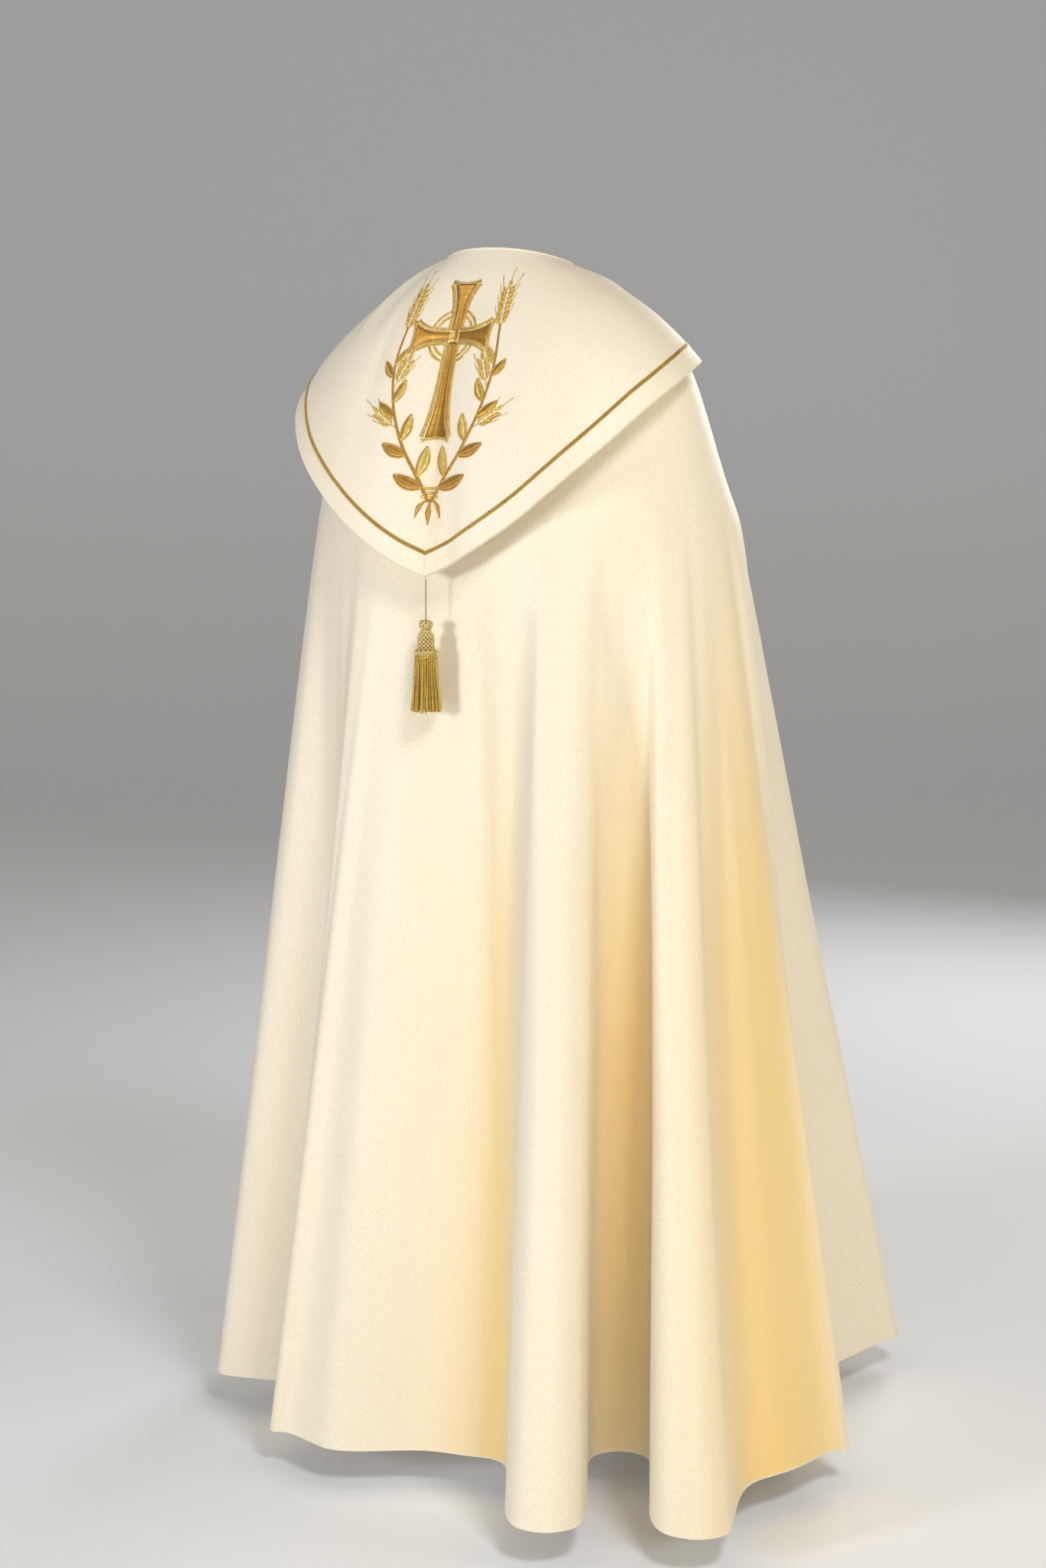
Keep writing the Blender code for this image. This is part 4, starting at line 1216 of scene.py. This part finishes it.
# %% The tie at the foot of the sprays
TIES = (-0.278, -0.2825, -0.287)
LOOSE_ENDS = (
    (((0.0, -0.291), (0.0005, -0.301), (0.0, -0.315)), 0.0042),
    (((0.004, -0.290), (0.011, -0.297), (0.015, -0.308)), 0.0030),
    (((-0.004, -0.290), (-0.011, -0.297), (-0.015, -0.308)), 0.0030),
)
for z in TIES:
    satin(satin_bright, [(-0.010, z), (0, z - 0.0012), (0.010, z)], (0.0014, 0.0019, 0.0014), 20)
for points, half_width in LOOSE_ENDS:
    satin(satin_brown, points, (0.0008, half_width, 0.0005), 22)
    couch(points, OUTLINE, 16, RIB_LIFT)
embroidery = [
    tube_piece("embroidery_bright", satin_bright, satin_gold),
    tube_piece("embroidery_brown", satin_brown, brown_gold),
    tube_piece("embroidery_cords", cords, couched_gold),
]
print("embroidery:", len(satin_bright) + len(satin_brown), "satin shapes,", len(cords), "cords")

# %% [markdown]
# ## The tassel's cord
# A short cord of two twisted strands hangs from the hood's point. Two helices round one line make it. It
# hangs where the solid of the cord is.


# %% Twisted cord
PLY_PRESS = 0.92


def twisted(line, ply_radius, turn_length, sides, phase=0.0):
    """Two tubes wound round each other along a line, pressed together a little."""
    along = unit(np.gradient(line, axis=0))
    first = unit(np.cross(along, (0.31, 0.95, 0.05)))
    second = np.cross(along, first)
    angle = phase + 2 * np.pi * run(line)[:, None] / turn_length
    around = [np.cos(angle + flip) * first + np.sin(angle + flip) * second for flip in (0.0, np.pi)]
    return [tube(line + PLY_PRESS * ply_radius * away, ply_radius, sides) for away in around]


TASSEL_CORD = 0.0019
TASSEL_DROP = 0.047
CORD_IN_TASSEL = 0.055
CORD_LAY = 0.0040
cord_low, cord_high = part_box("tassel_cord")
cord_middle = (cord_low + cord_high) / 2
cord_top = np.array([cord_middle.x, cord_middle.y, cord_high.z])
cord_end = cord_top - (0.0, 0.0, TASSEL_DROP)
cord_line = np.linspace(cord_top, cord_end - (0.0, 0.0, CORD_IN_TASSEL), 181)
cord_plies = twisted(cord_line, TASSEL_CORD / (2 + 2 * PLY_PRESS), CORD_LAY, 8)
cord = tube_piece("tassel_twisted_cord", cord_plies, tassel_gold)
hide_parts("tassel_cord")
print("cord from", cord_top.round(3), "to", cord_end.round(3))

# %% [markdown]
# ## The tassel
# Real tassels have a wooden core covered with thread: a knotted knob, a bell under a net of threads, a
# band wound with cord, and the skirt. The core is turned from its profile with the Screw modifier. The
# rest is thread, laid as tubes on that profile.

# %% The tassel's core
HEAD_COLUMNS = ("below", "radius")
HEAD_ROWS = (
    (0.0000, 0.0034), (0.0018, 0.0060), (0.0047, 0.0070), (0.0076, 0.0060),
    (0.0098, 0.0046), (0.0120, 0.0052), (0.0155, 0.0078), (0.0230, 0.0096),
    (0.0325, 0.0102), (0.0345, 0.0121), (0.0425, 0.0121), (0.0436, 0.0142),
)
TASSEL_GAP = 0.0003
CORE_UNDER = 0.0012
tassel_top = cord_end - (0.0, 0.0, TASSEL_GAP)
head_below, head_radius = (column(HEAD_COLUMNS, HEAD_ROWS, name) for name in HEAD_COLUMNS)


def head_at(below):
    """The head's radius, where its threads lie, at a distance below its top."""
    return smooth(below, head_below, head_radius, False)


core_mesh = bpy.data.meshes.new("tassel_core")
core_below = np.linspace(0, head_below[-1], 40)
core_side = [(r - CORE_UNDER, 0.0, -b) for b, r in zip(core_below, head_at(core_below))]
core_profile = [(0.0, 0.0, 0.0), *core_side, (0.0, 0.0, -head_below[-1])]
core_mesh.from_pydata(core_profile, [(k, k + 1) for k in range(len(core_profile) - 1)], [])
core = bpy.data.objects.new("tassel_core", core_mesh)
bpy.context.scene.collection.objects.link(core)
core.location = tassel_top
turning = core.modifiers.new("Turned", "SCREW")
turning.steps = turning.render_steps = 40
turning.use_merge_vertices, turning.merge_threshold = True, 0.00005
turning.use_smooth_shade = True
# Painted shade: the core's dark gold shows in the gaps of the net.
dress(core, core_gold_as_net_shade)
print("core:", len(core_profile), "points in its profile")


# %% Knot, net and band
THREAD = 0.00085
KNOT_THREAD = 0.0012
KNOT_LEADS, KNOT_BIGHTS = 3, 7
KNOT_MIDDLE, KNOT_SWING = 0.0047, 0.0036
NET_THREADS = 12
NET_TOP, NET_FOOT = 0.0118, 0.0340
NET_TURN = 2.4
NET_RIPPLE = 0.0004
BAND_TURNS = 8
BAND_TOP, BAND_STEP = 0.0348, 0.00108
COLLAR = (0.0098, 0.0116)


def round_head(angle, depth, out):
    """A line round the head, by its angle in radians, its distance below the top and out from the head."""
    return tassel_top + polar(head_at(depth) + out, np.degrees(angle), -depth)


knot_threads = []
for phase in (0.0, 0.5):
    angle = np.linspace(0, 2 * np.pi * KNOT_LEADS, 260)
    depth = KNOT_MIDDLE + KNOT_SWING * np.cos(KNOT_BIGHTS / KNOT_LEADS * angle + phase)
    knot_threads.append(tube(round_head(angle, depth, 0.0002), KNOT_THREAD))
net_threads = []
for k in range(NET_THREADS):
    for way, phase in ((1, 0.0), (-1, np.pi)):
        t = np.linspace(0, 1, 60)
        angle = 2 * np.pi * k / NET_THREADS + way * t * NET_TURN
        ripple = -NET_RIPPLE + NET_RIPPLE * np.cos(t * NET_TURN * NET_THREADS + phase)
        net_threads.append(tube(round_head(angle, NET_TOP + t * (NET_FOOT - NET_TOP), ripple), THREAD))
band_threads = []
full_turn = np.linspace(0, 2 * np.pi, 120)
for k in range(BAND_TURNS):
    line = round_head(full_turn, BAND_TOP + k * BAND_STEP, 0.0004)
    band_threads += twisted(line, 0.00044, 0.0034, 5, 0.7 * k)
collar_turn = np.linspace(0, 2 * np.pi, 70)
collar = [tube(round_head(collar_turn, depth, 0.0004), 0.0008) for depth in COLLAR]
head_tubes = knot_threads + net_threads + band_threads + collar
head_threads = tube_piece("tassel_head_threads", head_tubes, net_gold)

# %% The tassel's skirt
# Each row: number of strands, radius at the root, radius at the tip, length.
STRAND_ROWS = (
    (40, 0.0122, 0.0170, 0.0640),
    (34, 0.0102, 0.0143, 0.0648),
    (24, 0.0078, 0.0108, 0.0652),
    (14, 0.0048, 0.0070, 0.0650),
)
STRAND_PLY = 0.00062
STRAND_LAY = 0.0046
STRAND_TUCK = 0.003
rng = np.random.default_rng(7)
strands = []
for count, root_r, tip_r, length in STRAND_ROWS:
    for k in range(count):
        angle = 360 * (k + 0.5) / count + rng.uniform(-3, 3)
        sway, wave = rng.uniform(-9, 9), rng.uniform(0.0002, 0.0007)
        t = np.linspace(0, 1, 34)
        reach = root_r + (tip_r - root_r) * t**1.4 + wave * np.sin(7 * t + k)
        depth = head_below[-1] - STRAND_TUCK + t * (length + rng.uniform(-0.0040, 0.0006))
        line = tassel_top + polar(reach, angle + sway * t, -depth)
        strands += twisted(line, STRAND_PLY, STRAND_LAY, 4, rng.uniform(0, 6.28))
skirt = tube_piece("tassel_skirt", strands, tassel_gold)
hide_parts("tassel")
print("skirt:", len(strands) // 2, "twisted strands")

# %% [markdown]
# ## The clasp
# The clasp closes the fronts at the chest: a plate on each, a stud, and a wire hook round it. The stud
# and the hook keep their solids and only get their brass. The plates are made again with a raised rim and
# a beaded border.


# %% Clasp plates
CLASP_LEVEL = 0.64
CLASP_BEARING = 165.0
CLASP_PLATE = 0.0014
CLASP_WIDTH = 0.032
CLASP_HEIGHT = 0.026
CHEST_COLUMN = 0.30
CORNER_ROUNDING = 0.32
PLATE_SINK = 0.0001


def on_fronts(across, along, lift):
    """Points on the fronts: left of the chest's middle, down from the clasp's level, and out by a lift."""
    radius, _ = dome_profile(FRONT, CLASP_LEVEL)
    away = np.degrees(across / radius)
    points = on_cloth(180.0 - np.abs(away), CLASP_LEVEL + along / CHEST_COLUMN, lift)
    points[..., 0] *= np.where(away < 0, -1.0, 1.0)
    return points


def round_cornered(steps):
    """A square grid from -1 to 1 with its corners drawn in, and how near the rim each point is."""
    u, w = np.meshgrid(np.linspace(-1, 1, steps), np.linspace(-1, 1, steps), indexing="ij")
    drawn_u, drawn_w = u * np.sqrt(1 - CORNER_ROUNDING * w**2), w * np.sqrt(1 - CORNER_ROUNDING * u**2)
    return drawn_u, drawn_w, np.maximum(np.abs(u), np.abs(w))


plate_middle = math.radians(180.0 - CLASP_BEARING) * float(dome_profile(FRONT, CLASP_LEVEL)[0])
plate_down, plate_across, to_rim = round_cornered(41)
plate_top = 2 * SEAM_GAP + CLASP_PLATE
rim = 0.0003 * np.exp(-(((to_rim - 0.90) / 0.06) ** 2)) + 0.00015 * np.exp(-(((to_rim - 0.70) / 0.05) ** 2))
for side, name in ((1, "left"), (-1, "right")):
    across = side * plate_middle + plate_across * CLASP_WIDTH / 2
    face = on_fronts(across, plate_down * CLASP_HEIGHT / 2, plate_top - PLATE_SINK + rim[..., None])
    plate = thicken(skin(f"clasp_{name}_brass", [face]), CLASP_PLATE)
    dress(plate, brass)
    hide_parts(f"clasp_plate_{name}")
for name in ("clasp_stud", "clasp_hook"):
    frame["nodes"][name].data.materials.clear()
    frame["nodes"][name].data.materials.append(brass)
print("clasp plates:", round(CLASP_WIDTH * 1000), "by", round(CLASP_HEIGHT * 1000), "mm")

# %% [markdown]
# ## Sheets and the cord, declared
# The cord runs on inside the tassel, and the body is a semicircle less its neckline.

# %% [markdown]
# ## Floor
# A plain pale floor that curves up behind the cope keeps the light soft and even. It isn't part of the
# cope. The hem hangs a few centimetres above it, as it does on a standing wearer.

# %% Floor
CLEAR_OF_FLOOR = 0.045
FLOOR_SIDE = 11.0
# Each row: distance past the cope, as the camera looks, and height above the floor.
FLOOR_ROWS = ((-9.0, 0.0), (0.0, 0.0), (6.0, 0.0), (7.4, 0.10), (8.4, 0.6), (8.9, 1.6), (9.0, 8.0))
floor_height = -DROP - CLEAR_OF_FLOOR
floor_rows = [
    [ahead * level_ahead + aside * picture_right for aside in (FLOOR_SIDE, -FLOOR_SIDE)]
    for ahead, _ in FLOOR_ROWS
]
floor_points = np.array(floor_rows, float)
floor_points[..., 2] = [[floor_height + height] for _, height in FLOOR_ROWS]
floor = skin("studio_floor", [floor_points])
rounding = floor.modifiers.new("Soft corner", "SUBSURF")
rounding.levels = rounding.render_levels = 3
paper, paper_tree, paper_shader, _ = new_finish("Pale paper")
wire(paper_tree, paper_shader, {
    "Base Color": (0.82, 0.86, 0.93, 1.0),
    "Roughness": 0.9,
    "Emission Color": (0.95, 0.97, 1.0, 1.0),
    "Emission Strength": 0.07,
})
floor.data.materials.append(paper)
print("floor at", round(floor_height, 3), "m")
